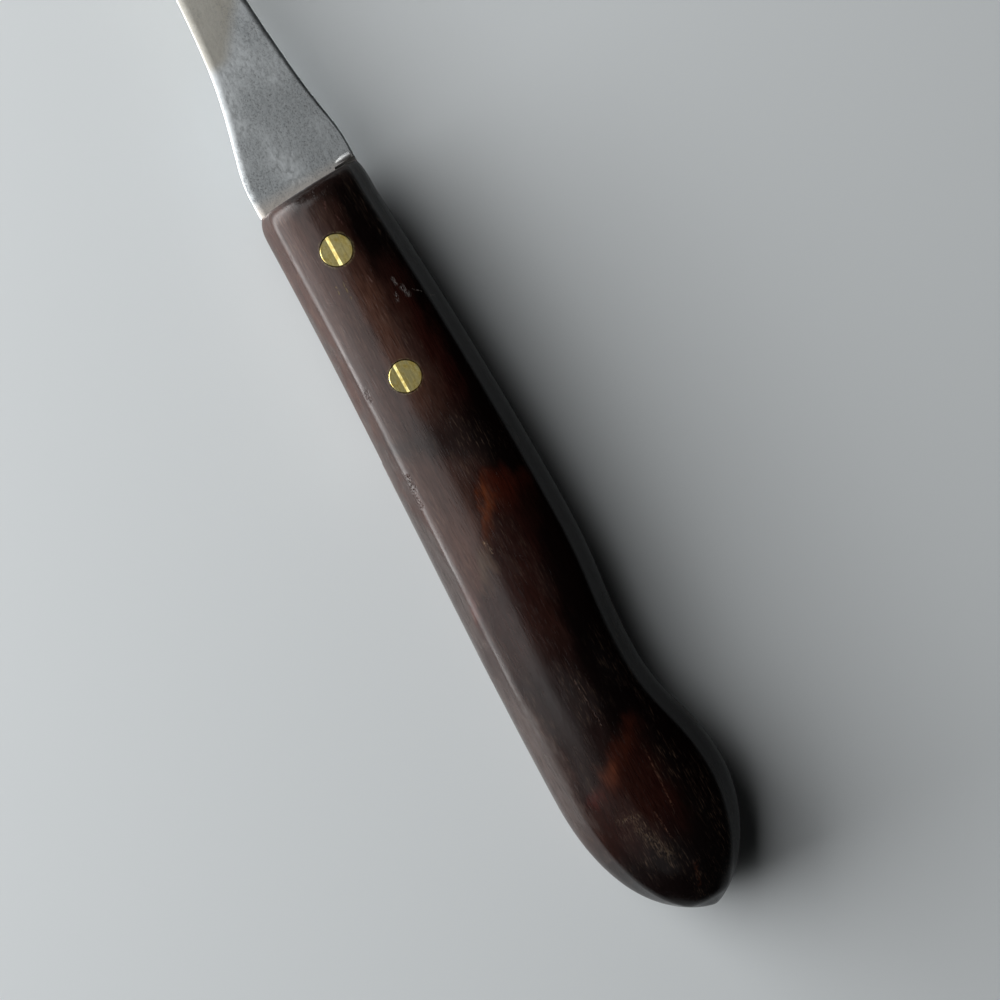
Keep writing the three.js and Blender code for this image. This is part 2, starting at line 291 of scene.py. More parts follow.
@dataclass
class Workbench:
    """The operators that shape a piece by hand, at the place that the CAD gives it.

    Attributes:
        zero: The middle of the handle's front end, in metres in the row frame.
        round_sides: Facets round a turned piece.
        weld: Points of a section that are closer than this become one, in millimetres.
        same: A scale this close to 1 changes nothing.
    """

    zero: Vector
    round_sides: int = 72
    weld: float = 0.0005
    same: float = 1e-6

    def place(self, along: float, across: float, up: float) -> Vector:
        """Returns a point of the layout, in metres in the row frame."""
        return self.zero + Vector((along, across, up)) * MM

    def pick(self, mesh: bmesh.types.BMesh, verts: Iterable[bmesh.types.BMVert]) -> None:
        """Selects just these vertices, with the edges and faces between them."""
        wanted = set(verts)
        for face in mesh.faces:
            face.select = False
        for edge in mesh.edges:
            edge.select = False
        for vert in mesh.verts:
            vert.select = vert in wanted
        mesh.select_flush(True)

    def choose(self, piece: Object) -> None:
        """Makes a piece the only selected object, and the active one."""
        bpy.ops.object.select_all(action="DESELECT")
        piece.select_set(True)
        bpy.context.view_layer.objects.active = piece

    def open_new(self, name: str) -> Object:
        """Names the primitive just added, fixes its place and size, and opens it in edit mode."""
        made = bpy.context.object
        made.name = made.data.name = name
        bpy.ops.object.transform_apply(location=True, rotation=True, scale=True)
        bpy.ops.object.mode_set(mode="EDIT")
        bpy.ops.mesh.select_mode(type="VERT")
        bpy.ops.mesh.select_all(action="SELECT")
        return made

    def close(self) -> None:
        """Turns the open mesh's faces outward and leaves edit mode."""
        bpy.ops.mesh.select_all(action="SELECT")
        bpy.ops.mesh.normals_make_consistent(inside=False)
        bpy.ops.object.mode_set(mode="OBJECT")

    def section(self, name: str, first: Station, rounding: Points) -> Object:
        """Draws the first section of a bar, point by point round its four corners, open in edit mode.

        Args:
            name: The piece's name.
            first: The section's station.
            rounding: Points of a corner from the face to the side, out and up, as shares of its size.

        Returns:
            The new object.
        """
        points = []
        for edge, side in ((Edge.BACK, 1), (Edge.BACK, -1), (Edge.BELLY, -1), (Edge.BELLY, 1)):
            corner = first.corner(edge)
            for out, up in rounding[::edge.value * side]:
                across = first.edge(edge) - edge.value * corner.width * (1 - out)
                height = first.rise + side * (first.half - corner.depth * (1 - up))
                points.append(self.place(first.along, across, height))
        bpy.ops.mesh.primitive_plane_add(size=MM, location=points[0])
        made = self.open_new(name)
        bpy.ops.mesh.merge(type="CENTER")
        for old, new in pairwise([*points, points[0]]):
            bpy.ops.mesh.extrude_region_move(TRANSFORM_OT_translate={"value": new - old})
        bpy.ops.mesh.select_all(action="SELECT")
        bpy.ops.mesh.remove_doubles(threshold=self.weld * MM)
        bpy.ops.mesh.edge_face_add()
        return made

    def reshape(
        self,
        mesh: bmesh.types.BMesh,
        ring: list[bmesh.types.BMVert],
        old: Station,
        new: Station,
    ) -> None:
        """Brings a ring, already at its new place along the bar, to its new section.

        Args:
            mesh: The open mesh.
            ring: The ring's vertices.
            old: The section that the ring has.
            new: The section that it gets.
        """
        middle = sum(vert.co.y for vert in ring) / len(ring)
        level = self.place(new.along, 0, new.rise)
        thicker = new.half / old.half
        halves = {edge: [v for v in ring if (v.co.y - middle) * edge.value > 0] for edge in Edge}
        for edge, verts in halves.items():
            self.pick(mesh, verts)
            shift = new.edge(edge) - old.edge(edge)
            bpy.ops.transform.translate(value=(0, shift * MM, 0))
            wider = new.corner(edge).width / old.corner(edge).width
            pivot = self.place(new.along, new.edge(edge), new.rise)
            bpy.ops.transform.resize(value=(1, wider, thicker), center_override=pivot)
            deeper = new.corner(edge).depth / (old.corner(edge).depth * thicker)
            if abs(deeper - 1) > self.same:
                for side in (1, -1):
                    self.pick(mesh, [v for v in verts if (v.co.z - level.z) * side > 0])
                    pivot = self.place(new.along, 0, new.rise + side * new.half)
                    bpy.ops.transform.resize(value=(1, 1, deeper), center_override=pivot)

    def sweep(self, name: str, stations: list[Station], rounding: Points) -> Object:
        """Sweeps a closed bar through a row of stations, one extrusion each.

        Args:
            name: The piece's name.
            stations: The sections in order.
            rounding: Points of a corner from the face to the side, out and up, as shares of its size.

        Returns:
            The bar's object, in object mode.
        """
        made = self.section(name, stations[0], rounding)
        mesh = bmesh.from_edit_mesh(made.data)
        rings = [list(mesh.verts)]
        for old, new in pairwise(stations):
            self.pick(mesh, rings[-1])
            step = Vector((new.along - old.along, 0, new.rise - old.rise)) * MM
            bpy.ops.mesh.extrude_region_move(TRANSFORM_OT_translate={"value": step})
            rings.append([vert for vert in mesh.verts if vert.select])
            self.reshape(mesh, rings[-1], old, new)
        for ring, station in zip(rings, stations):
            if station.skew:
                self.pick(mesh, ring)
                pivot = self.place(station.along, 0, station.rise)
                bpy.ops.transform.rotate(value=-station.skew, orient_axis="Z", center_override=pivot)
        self.close()
        return made

    def turned(self, name: str, along: float, across: float, profile: Points) -> Object:
        """Turns a round piece on an upright axis: a disc, drawn up through the points of its profile.

        Args:
            name: The piece's name.
            along: Place of the axis along the handle.
            across: Place of the axis across the handle.
            profile: Radius and height of each step, from one end to the other.

        Returns:
            The piece's object, in object mode.
        """
        radius, height = profile[0]
        bpy.ops.mesh.primitive_circle_add(
            vertices=self.round_sides,
            radius=radius * MM,
            fill_type="NGON",
            location=self.place(along, across, height),
        )
        made = self.open_new(name)
        for old, new in pairwise(profile):
            step = (0, 0, (new[1] - old[1]) * MM)
            bpy.ops.mesh.extrude_region_move(TRANSFORM_OT_translate={"value": step})
            factor = new[0] / old[0]
            pivot = self.place(along, across, new[1])
            bpy.ops.transform.resize(value=(factor, factor, 1), center_override=pivot)
        self.close()
        return made

    def combine(self, piece: Object, other: Object, way: Way) -> None:
        """Changes a piece by another solid, which is used up.

        Args:
            piece: The piece that is changed.
            other: The solid that is cut away or joined on.
            way: Which of the two.
        """
        self.choose(piece)
        cut = piece.modifiers.new("cut", "BOOLEAN")
        cut.operation = way.value
        cut.solver = "EXACT"
        cut.object = other
        bpy.ops.object.modifier_apply(modifier=cut.name)
        bpy.data.objects.remove(other)

    def smooth(self, piece: Object, angle: float = SHARP_ANGLE) -> None:
        """Smooths a piece's shading up to an angle, with its flat faces kept flat.

        Args:
            piece: The piece.
            angle: Edges sharper than this stay sharp, in degrees.
        """
        self.choose(piece)
        bpy.ops.object.shade_smooth_by_angle(angle=math.radians(angle))
        weighted = piece.modifiers.new("normals", "WEIGHTED_NORMAL")
        weighted.keep_sharp = True
        bpy.ops.object.modifier_apply(modifier=weighted.name)


@dataclass(frozen=True)
class Grain:
    """One scale of a mottled pattern.

    Attributes:
        size: Its size along, across and through the piece, in millimetres.
        low: Level of the noise where the pattern starts.
        high: Level where it is full.
        detail: Finer octaves in it.
    """

    size: tuple[float, float, float]
    low: float
    high: float
    detail: float = 2.0

    def share(self, tree: NodeTree, place: NodeSocket) -> NodeSocket:
        """Lays the pattern.

        Args:
            tree: The material's node tree.
            place: Coordinates in millimetres.

        Returns:
            A share from 0 to 1.
        """
        fitted = add_node(tree, "Mapping", {"Vector": place, "Scale": tuple(1 / side for side in self.size)})
        noise = add_node(tree, "TexNoise", {"Vector": fitted.outputs[0], "Scale": 1.0, "Detail": self.detail})
        levels = {"Value": noise.outputs[0], "From Min": self.low, "From Max": self.high}
        return add_node(tree, "MapRange", levels).outputs[0]


@dataclass(frozen=True)
class Cut:
    """One side of a patch of colour: a plane that leans through the piece.

    Attributes:
        through: A point of it on the upper face, along and across, in millimetres.
        heading: Where the patch lies from there, in degrees from the line along the piece.
        fade: How far the colour takes to come up, in millimetres.
        top: Height of the upper face.
        lean: How far the plane leans.
    """

    through: tuple[float, float]
    heading: float
    fade: float
    top: float = 7.95
    lean: float = 0.2

    def share(self, tree: NodeTree, place: NodeSocket) -> NodeSocket:
        """Lays the soft step.

        Args:
            tree: The material's node tree.
            place: Coordinates in millimetres.

        Returns:
            A share from 0 to 1.
        """
        angle = math.radians(self.heading)
        normal = Vector((math.cos(angle), math.sin(angle), self.lean))
        start = normal.dot(Vector((*self.through, self.top)))
        reach = add_node(tree, "VectorMath", {0: place, 1: normal}, operation="DOT_PRODUCT").outputs["Value"]
        levels = {"Value": reach, "From Min": start, "From Max": start + self.fade}
        return add_node(tree, "MapRange", levels, interpolation_type="SMOOTHSTEP").outputs[0]


@dataclass(frozen=True)
class Part:
    """A part of a surface that lies inside all of its cuts."""

    strength: float
    cuts: tuple[Cut, ...]

    def share(self, tree: NodeTree, place: NodeSocket) -> NodeSocket:
        """Lays the part.

        Args:
            tree: The material's node tree.
            place: Coordinates in millimetres.

        Returns:
            A share from 0 to the part's strength.
        """
        share: Any = self.strength
        for cut in self.cuts:
            factors = {0: cut.share(tree, place), 1: share}
            share = add_node(tree, "Math", factors, operation="MULTIPLY").outputs[0]
        return share


@dataclass(frozen=True)
class Patch:
    """A patch of colour that lies inside all of its cuts."""

    colour: str
    strength: float
    cuts: tuple[Cut, ...]

    def share(self, tree: NodeTree, place: NodeSocket) -> NodeSocket:
        """Returns a share from 0 to the patch's strength, at a place in millimetres."""
        return Part(self.strength, self.cuts).share(tree, place)


@dataclass(frozen=True)
class Mark:
    """A scuff or a scratch on the upper cheek, between two points along and across it, in millimetres."""

    start: tuple[float, float]
    end: tuple[float, float]
    width: float
    colour: str
    strength: float
    depth: float = 0.0

    def share(self, tree: NodeTree, place: NodeSocket) -> NodeSocket:
        """Lays the mark, full on its own line and gone at its width.

        Args:
            tree: The material's node tree.
            place: Coordinates in millimetres, flattened to the cheek.

        Returns:
            A share from 0 to 1.
        """
        run = Vector((*self.end, 0)) - Vector((*self.start, 0))
        away = add_node(tree, "VectorMath", {0: place, 1: (*self.start, 0)}, operation="SUBTRACT").outputs[0]
        unit = run / run.length_squared
        along = add_node(tree, "VectorMath", {0: away, 1: unit}, operation="DOT_PRODUCT").outputs["Value"]
        held = add_node(tree, "Math", {0: along, 1: 1.0}, operation="MULTIPLY", use_clamp=True).outputs[0]
        foot = add_node(tree, "VectorMath", {0: run, "Scale": held}, operation="SCALE").outputs[0]
        off = add_node(tree, "VectorMath", {0: away, 1: foot}, operation="DISTANCE").outputs["Value"]
        levels = {"Value": off, "From Min": self.width, "From Max": 0.0}
        return add_node(tree, "MapRange", levels).outputs[0]


@dataclass(frozen=True)
class Rosewood:
    """Dark rosewood, sanded and rubbed with oil: streaked near black, with red-brown flames and a soft gloss.
    Painted shade darkens the belly side, and the back flank is greyed, partly as wear and partly as a painted
    reflection.

    Places run along the board from its front end and across it towards the belly, in millimetres.
    """

    heart: str = "4a3129"
    streak: str = "38241e"
    shaded: str = "c0b4ac"
    dusty: str = "7d6857"
    dust_share: float = 0.28
    roughness: tuple[float, float] = (0.22, 0.34)
    oiled: float = 1.47
    dry: float = 1.2
    dry_parts: tuple[Part, ...] = (
        Part(1.0, (Cut((0, 4.0), 90, 4.0, lean=0.0),)),
        Part(0.6, (Cut((86, 0), 0, 12.0, lean=0.0), Cut((0, -7.0), 90, 3.0, lean=0.0))),
    )
    cheek_fade: float = 1.0
    fray_size: tuple[float, float, float] = (4.5, 2.2, 3.0)
    fray_detail: float = 4.0
    fray: tuple[float, float, float] = (5.5, 4.5, 3.0)
    bands: Grain = Grain((34.0, 3.4, 5.0), 0.36, 0.66, 3.0)
    fibres: Grain = Grain((2.6, 0.22, 0.5), 0.38, 0.68, 4.0)
    pores: Grain = Grain((2.4, 0.12, 0.2), 0.62, 0.74)
    dust: Grain = Grain((1.7, 0.13, 0.3), 0.58, 0.7)
    worn: Grain = Grain((13.0, 5.0, 8.0), 0.47, 0.64)
    waves: Grain = Grain((14.0, 3.5, 5.0), 0.2, 0.8)
    flecks: Grain = Grain((0.45, 0.2, 0.4), 0.46, 0.6, 3.0)
    fibre_height: float = 0.004
    pore_depth: float = 0.009
    wave_height: float = 0.03
    patches: tuple[Patch, ...] = (
        # Painted shade: darkens the belly half, the side turned away from the light.
        Patch("301a15", 0.8, (Cut((20, 0.2), 90, 4.0),)),
        Patch("1a1110", 0.75, (Cut((34, 0), 0, 8.0), Cut((48, 1.8), 151, 3.0))),
        Patch("180e0e", 0.88, (Cut((66, 0), 0, 14.0), Cut((0, -10.5), 90, 4.0))),
        Patch("583b2f", 0.6, (
            Cut((10, 0), 0, 10.0), Cut((42, 0), 180, 12.0),
            Cut((0, -2.6), 90, 2.0), Cut((0, 2.6), 270, 2.6),
        )),
        # Painted shade: near black along the belly flank, away from the light, here and in the next patch.
        Patch("0a0404", 0.95, (Cut((29, 3.4), 86, 3.4),)),
        Patch("0a0404", 0.9, (Cut((76, 3.4), 75, 4.5), Cut((58, 0), 0, 8.0))),
        # Grey along the back flank: partly worn, dry wood and partly a painted reflection of the lit floor.
        Patch("4a4442", 0.7, (Cut((0, -7.2), 270, 1.4),)),
        Patch("32100b", 0.7, (
            Cut((12, 0), 0, 10.0), Cut((42, 0), 180, 10.0),
            Cut((20, 2.4), 90, 3.0), Cut((20, 7.8), 270, 3.0),
        )),
        # Painted shade: near black on the belly side of the front part.
        Patch("0a0404", 0.95, (Cut((20, 0), 180, 8.0), Cut((0, 1.4), 90, 2.4))),
        Patch("45271f", 0.4, (Cut((15, 0), 180, 10.0), Cut((0, -7.0), 270, 1.4))),
        Patch("1a100e", 0.85, (Cut((5.0, 0), 180, 3.5), Cut((0, -6.5), 90, 4.0))),
        Patch("5a2c28", 0.55, (
            Cut((61, 0), 0, 4.0), Cut((71, 0), 180, 4.0),
            Cut((0, -6.4), 270, 1.6), Cut((0, -9.6), 90, 1.4),
        )),
        Patch("26100c", 0.9, (
            Cut((46.6, 1.8), -29, 2.0), Cut((46.5, 1.4), 61.6, 2.4),
            Cut((51, 10.0), 255, 4.5), Cut((84, 0), 180, 18.0),
        )),
        Patch("521d0b", 0.9, (
            Cut((46.8, 1.8), -29, 3.5), Cut((46.9, 1.8), 61.6, 3.0),
            Cut((51, 9.8), 255, 4.5), Cut((56, 1), 165, 10.0),
        )),
        Patch("6a3519", 0.78, (
            Cut((47.4, 1.4), -29, 3.0), Cut((47.3, 2.0), 61.6, 1.4),
            Cut((49.6, 4.3), 241.6, 2.1), Cut((60, -3), 151, 8.0),
        )),
        Patch("64503e", 0.45, (
            Cut((56.6, -1), -29, 4.0), Cut((47.0, 1.6), 61.6, 1.6),
            Cut((50, 4.5), 241.6, 2.4), Cut((66, -5), 151, 4.0),
        )),
        Patch("100b0b", 0.8, (Cut((101, 0), 0, 7.0),)),
        Patch("28120d", 0.85, (Cut((89.9, 1.3), 38, 3.4), Cut((90, 6.6), 270, 3.4), Cut((111, 0), 180, 9.0))),
        Patch("4c2112", 0.5, (
            Cut((89.9, 1.3), 38, 3.4), Cut((95.4, 3.0), 218, 5.0),
            Cut((90, 5.6), 270, 2.6), Cut((102, 0), 180, 7.0),
        )),
        Patch("623624", 0.5, (
            Cut((92.4, 0), 0, 3.0), Cut((98.4, 0), 180, 3.0),
            Cut((0, -4.4), 90, 1.8), Cut((0, -0.4), 270, 1.8),
        )),
        Patch("4a1c18", 0.5, (
            Cut((95.6, 0), 0, 2.5), Cut((101, 0), 180, 3.0),
            Cut((0, -3.6), 270, 2.5), Cut((0, -8), 90, 1.5),
        )),
    )
    marks: tuple[Mark, ...] = (
        Mark((10.35, -0.65), (10.4, -0.65), 2.8, "a3976f", 3.5),
        Mark((31.1, -0.65), (31.15, -0.65), 2.75, "a3976f", 3.0),
        Mark((15.0, -3.25), (16.4, -3.35), 0.16, "8d7a4c", 0.5, 0.01),
        Mark((14.9, -2.1), (17.7, -2.1), 0.16, "8d7a4c", 0.5, 0.01),
        Mark((15.0, -1.6), (15.9, -1.7), 0.16, "8d7a4c", 0.5, 0.01),
        Mark((15.7, 1.6), (16.9, 1.7), 0.15, "7a5f58", 0.6, 0.01),
        Mark((3.5, 1.2), (4.4, 0.8), 0.2, "6b4a44", 0.6, 0.01),
        Mark((5.9, 1.7), (7.5, 2.0), 0.18, "6b4a44", 0.6, 0.01),
        Mark((17.7, 4.5), (18.8, 4.6), 0.35, "7f7873", 0.6, 0.06),
        Mark((19.4, 5.1), (20.9, 5.4), 0.55, "7f7873", 0.65, 0.08),
        Mark((19.9, 3.9), (20.9, 3.6), 0.4, "6f6864", 0.5, 0.05),
        Mark((20.4, 6.3), (21.3, 7.3), 0.16, "7f7873", 0.6, 0.03),
        Mark((22.3, 8.2), (22.6, 8.9), 0.16, "7f7873", 0.7, 0.03),
        Mark((44.2, -7.4), (46.0, -7.6), 0.7, "3a2a26", 0.5, 0.14),
        Mark((47.0, -7.8), (48.7, -7.7), 0.5, "3a2a26", 0.5, 0.1),
        Mark((30.3, -6.8), (31.7, -6.8), 0.5, "3a2a26", 0.6, 0.08),
        Mark((102.3, -4.4), (102.9, -1.7), 0.8, "7e6a54", 0.26, 0.02),
        Mark((104.5, -2.3), (109.9, -0.5), 1.3, "7e6a54", 0.22, 0.02),
        Mark((95.0, 3.8), (103.8, 3.4), 0.18, "7a5644", 0.38, 0.02),
        Mark((103.5, 0.7), (108.0, 1.1), 0.18, "7a5644", 0.4, 0.02),
        Mark((81.2, -0.4), (88.8, 0.0), 0.16, "6a5248", 0.5, 0.02),
        Mark((57.6, -2.2), (59.4, -1.8), 0.3, "a08468", 0.6, 0.02),
        Mark((112.6, 2.4), (115.9, 1.4), 0.5, "5a3320", 0.28),
    )

    def tint(self, tree: NodeTree, place: NodeSocket) -> NodeSocket:
        """Colours the wood: bands along the grain, then the patches (flames, painted shade on the belly side,
        and a grey back flank that is part wear and part painted reflection), with edges frayed along the
        fibres.

        Args:
            tree: The material's node tree.
            place: Board coordinates in millimetres.

        Returns:
            The colour.
        """
        fit = {"Vector": place, "Scale": tuple(1 / side for side in self.fray_size)}
        fitted = add_node(tree, "Mapping", fit).outputs[0]
        ragged = {"Vector": fitted, "Scale": 1.0, "Detail": self.fray_detail}
        noise = add_node(tree, "TexNoise", ragged).outputs["Color"]
        centred = add_node(tree, "VectorMath", {0: noise, 1: (0.5,) * 3}, operation="SUBTRACT").outputs[0]
        moved = {0: centred, 1: self.fray, 2: place}
        frayed = add_node(tree, "VectorMath", moved, operation="MULTIPLY_ADD").outputs[0]
        share = self.bands.share(tree, place)
        layers = {SHARE: share, BELOW: linear(self.streak), ABOVE: linear(self.heart)}
        colour = add_node(tree, "Mix", layers, data_type="RGBA").outputs[MIXED]
        for patch in self.patches:
            layers = {SHARE: patch.share(tree, frayed), BELOW: colour, ABOVE: linear(patch.colour)}
            colour = add_node(tree, "Mix", layers, data_type="RGBA").outputs[MIXED]
        layers = {SHARE: self.fibres.share(tree, place), BELOW: colour, ABOVE: linear(self.shaded)}
        return add_node(tree, "Mix", layers, data_type="RGBA", blend_type="MULTIPLY").outputs[MIXED]

    def wear(
        self,
        tree: NodeTree,
        place: NodeSocket,
        colour: NodeSocket,
        height: NodeSocket,
    ) -> tuple[NodeSocket, NodeSocket]:
        """Adds dust in the pores where the wood is worn, and the marks of use.

        Args:
            tree: The material's node tree.
            place: Board coordinates in millimetres.
            colour: The wood's colour.
            height: Its relief in millimetres.

        Returns:
            The colour and the relief with the marks.
        """
        filled = {0: self.dust.share(tree, place), 1: self.worn.share(tree, place)}
        share = add_node(tree, "Math", filled, operation="MULTIPLY").outputs[0]
        share = add_node(tree, "Math", {0: share, 1: self.dust_share}, operation="MULTIPLY").outputs[0]
        layers = {SHARE: share, BELOW: colour, ABOVE: linear(self.dusty)}
        colour = add_node(tree, "Mix", layers, data_type="RGBA").outputs[MIXED]
        flat = add_node(tree, "VectorMath", {0: place, 1: (1, 1, 0)}, operation="MULTIPLY").outputs[0]
        upright = add_node(tree, "VectorMath", {0: place, 1: (0, 0, 1)}, operation="DOT_PRODUCT")
        fade = {"Value": upright.outputs["Value"], "From Min": -self.cheek_fade, "From Max": self.cheek_fade}
        upper = add_node(tree, "MapRange", fade).outputs[0]
        rough = self.flecks.share(tree, place)
        broken = add_node(tree, "Math", {0: rough, 1: upper}, operation="MULTIPLY").outputs[0]
        for mark in self.marks:
            spots = {0: mark.share(tree, flat), 1: broken}
            share = add_node(tree, "Math", spots, operation="MULTIPLY").outputs[0]
            shown = add_node(tree, "Math", {0: share, 1: mark.strength}, operation="MULTIPLY").outputs[0]
            layers = {SHARE: shown, BELOW: colour, ABOVE: linear(mark.colour)}
            colour = add_node(tree, "Mix", layers, data_type="RGBA").outputs[MIXED]
            sunk = {0: share, 1: -mark.depth, 2: height}
            height = add_node(tree, "Math", sunk, operation="MULTIPLY_ADD").outputs[0]
        return colour, height

    def make(self, zero: Vector) -> Material:
        """Builds the material.

        Args:
            zero: The middle of the handle's front end, in metres.

        Returns:
            The new material.
        """
        material, place = open_material("rubbed_rosewood", zero, (-1, -1, 1))
        tree = material.node_tree
        height: Any = 0.0
        for grain, rise in (
            (self.fibres, self.fibre_height),
            (self.pores, -self.pore_depth),
            (self.waves, self.wave_height),
        ):
            raised = {0: grain.share(tree, place), 1: rise, 2: height}
            height = add_node(tree, "Math", raised, operation="MULTIPLY_ADD").outputs[0]
        colour, height = self.wear(tree, place, self.tint(tree, place), height)
        smoothest, roughest = self.roughness
        gloss = {"Value": self.worn.share(tree, place), "To Min": smoothest, "To Max": roughest}
        bare: Any = 0.0
        for part in self.dry_parts:
            driest = {0: part.share(tree, place), 1: bare}
            bare = add_node(tree, "Math", driest, operation="MAXIMUM").outputs[0]
        film = {"Value": bare, "To Min": self.oiled, "To Max": self.dry}
        inputs = {
            "Base Color": colour,
            "Roughness": add_node(tree, "MapRange", gloss).outputs[0],
            "IOR": add_node(tree, "MapRange", film).outputs[0],
            "Normal": add_node(tree, "Bump", {"Height": height, "Distance": MM}).outputs[0],
        }
        feed(tree, tree.nodes["Principled BSDF"], inputs)
        return material


@dataclass(frozen=True)
class GroundSteel:
    """Stainless steel, ground on a belt and dulled by years of washing: grey, mottled and finely scratched.

    Places run along the fork from the handle's front end and across it towards the back, in millimetres.
    """

    sheen: str = "d0d5d7"
    dull: str = "a6abad"
    speck: str = "85898b"
    roughness: tuple[float, float] = (0.32, 0.44)
    warm_roughness: float = 0.34
    mottle: Grain = Grain((0.9, 0.65, 0.65), 0.38, 0.62, 5.0)
    cloud: Grain = Grain((9.0, 6.0, 6.0), 0.36, 0.64, 2.0)
    specks: Grain = Grain((0.28, 0.22, 0.22), 0.5, 0.68, 3.0)
    scratches: Grain = Grain((6.0, 0.1, 0.3), 0.58, 0.72)
    cross_scratches: Grain = Grain((0.1, 4.0, 0.3), 0.62, 0.74)
    mottle_height: float = 0.0035
    scratch_depth: float = 0.0012
    buffed_and_highlight_mottle: float = 0.25
    patches: tuple[Patch, ...] = (
        Patch("b4ae9f", 0.7, (Cut((23.0, -0.6), 54, 2.6, lean=0.0), Cut((20.8, 0), 0, 2.4, lean=0.0))),
        # Buffed band by the wood, its paler colour partly a painted highlight where the steel's end rounds
        # over.
        Patch("e9dfd4", 0.75, (Cut((2.8, 0), 180, 2.8, lean=0.0),)),
    )

    def make(self, zero: Vector) -> Material:
        """Builds the material.

        Args:
            zero: The middle of the handle's front end, in metres.

        Returns:
            The new material.
        """
        material, place = open_material("ground_stainless_steel", zero)
        tree = material.node_tree
        mottle = self.mottle.share(tree, place)
        cloud = self.cloud.share(tree, place)
        blend = add_node(tree, "Math", {0: mottle, 1: cloud}, operation="MULTIPLY").outputs[0]
        layers = {SHARE: blend, BELOW: linear(self.sheen), ABOVE: linear(self.dull)}
        colour = add_node(tree, "Mix", layers, data_type="RGBA").outputs[MIXED]
        # Share of the buffed patches, which also carries the painted highlight by the wood.
        buffed_and_highlight: Any = 0.0
        for patch in self.patches:
            share = patch.share(tree, place)
            layers = {SHARE: share, BELOW: colour, ABOVE: linear(patch.colour)}
            colour = add_node(tree, "Mix", layers, data_type="RGBA").outputs[MIXED]
            buffed_and_highlight = add_node(tree, "Math", {0: share, 1: buffed_and_highlight}, operation="MAXIMUM").outputs[0]
        left = {"Value": buffed_and_highlight, "To Min": 1.0, "To Max": self.buffed_and_highlight_mottle}
        clear = add_node(tree, "MapRange", left).outputs[0]
        dotted = {0: self.specks.share(tree, place), 1: cloud}
        share = add_node(tree, "Math", dotted, operation="MULTIPLY").outputs[0]
        shown = add_node(tree, "Math", {0: share, 1: clear}, operation="MULTIPLY").outputs[0]
        layers = {SHARE: shown, BELOW: colour, ABOVE: linear(self.speck)}
        colour = add_node(tree, "Mix", layers, data_type="RGBA").outputs[MIXED]
        gloss = {"Value": mottle, "To Min": self.roughness[0], "To Max": self.roughness[1]}
        rough = add_node(tree, "MapRange", gloss).outputs[0]
        even = {"Value": buffed_and_highlight, "To Min": rough, "To Max": self.warm_roughness}
        rough = add_node(tree, "MapRange", even).outputs[0]
        height = add_node(tree, "Math", {0: mottle, 1: self.mottle_height}, operation="MULTIPLY").outputs[0]
        height = add_node(tree, "Math", {0: height, 1: clear}, operation="MULTIPLY").outputs[0]
        for lines in (self.scratches, self.cross_scratches):
            cut = {0: lines.share(tree, place), 1: -self.scratch_depth, 2: height}
            height = add_node(tree, "Math", cut, operation="MULTIPLY_ADD").outputs[0]
        relief = add_node(tree, "Bump", {"Height": height, "Distance": MM}).outputs[0]
        inputs = {"Base Color": colour, "Roughness": rough, "Normal": relief, "Metallic": 1.0}
        feed(tree, tree.nodes["Principled BSDF"], inputs)
        return material


@dataclass(frozen=True)
class FiledBrass:
    """Brass, filed flush with the wood: yellow with an olive tarnish, streaked along the handle."""

    bright: str = "f6e8a4"
    tarnish: str = "c2ae62"
    roughness: tuple[float, float] = (0.29, 0.39)
    streaks: Grain = Grain((5.0, 0.16, 0.3), 0.42, 0.64, 3.0)
    blots: Grain = Grain((0.9, 0.7, 0.7), 0.4, 0.66, 3.0)
    streak_depth: float = 0.003

    def make(self, centre: Vector) -> Material:
        """Builds the material.

        Args:
            centre: The rivet's axis at half the handle's thickness, in metres.

        Returns:
            The new material.
        """
        material, place = open_material("filed_brass", centre)
        tree = material.node_tree
        streaks = self.streaks.share(tree, place)
        blots = self.blots.share(tree, place)
        layers = {SHARE: blots, BELOW: linear(self.bright), ABOVE: linear(self.tarnish)}
        colour = add_node(tree, "Mix", layers, data_type="RGBA").outputs[MIXED]
        gloss = {"Value": blots, "To Min": self.roughness[0], "To Max": self.roughness[1]}
        rough = add_node(tree, "MapRange", gloss).outputs[0]
        sunk = add_node(tree, "Math", {0: streaks, 1: -self.streak_depth}, operation="MULTIPLY").outputs[0]
        relief = add_node(tree, "Bump", {"Height": sunk, "Distance": MM}).outputs[0]
        inputs = {"Base Color": colour, "Roughness": rough, "Normal": relief, "Metallic": 1.0}
        feed(tree, tree.nodes["Principled BSDF"], inputs)
        return material


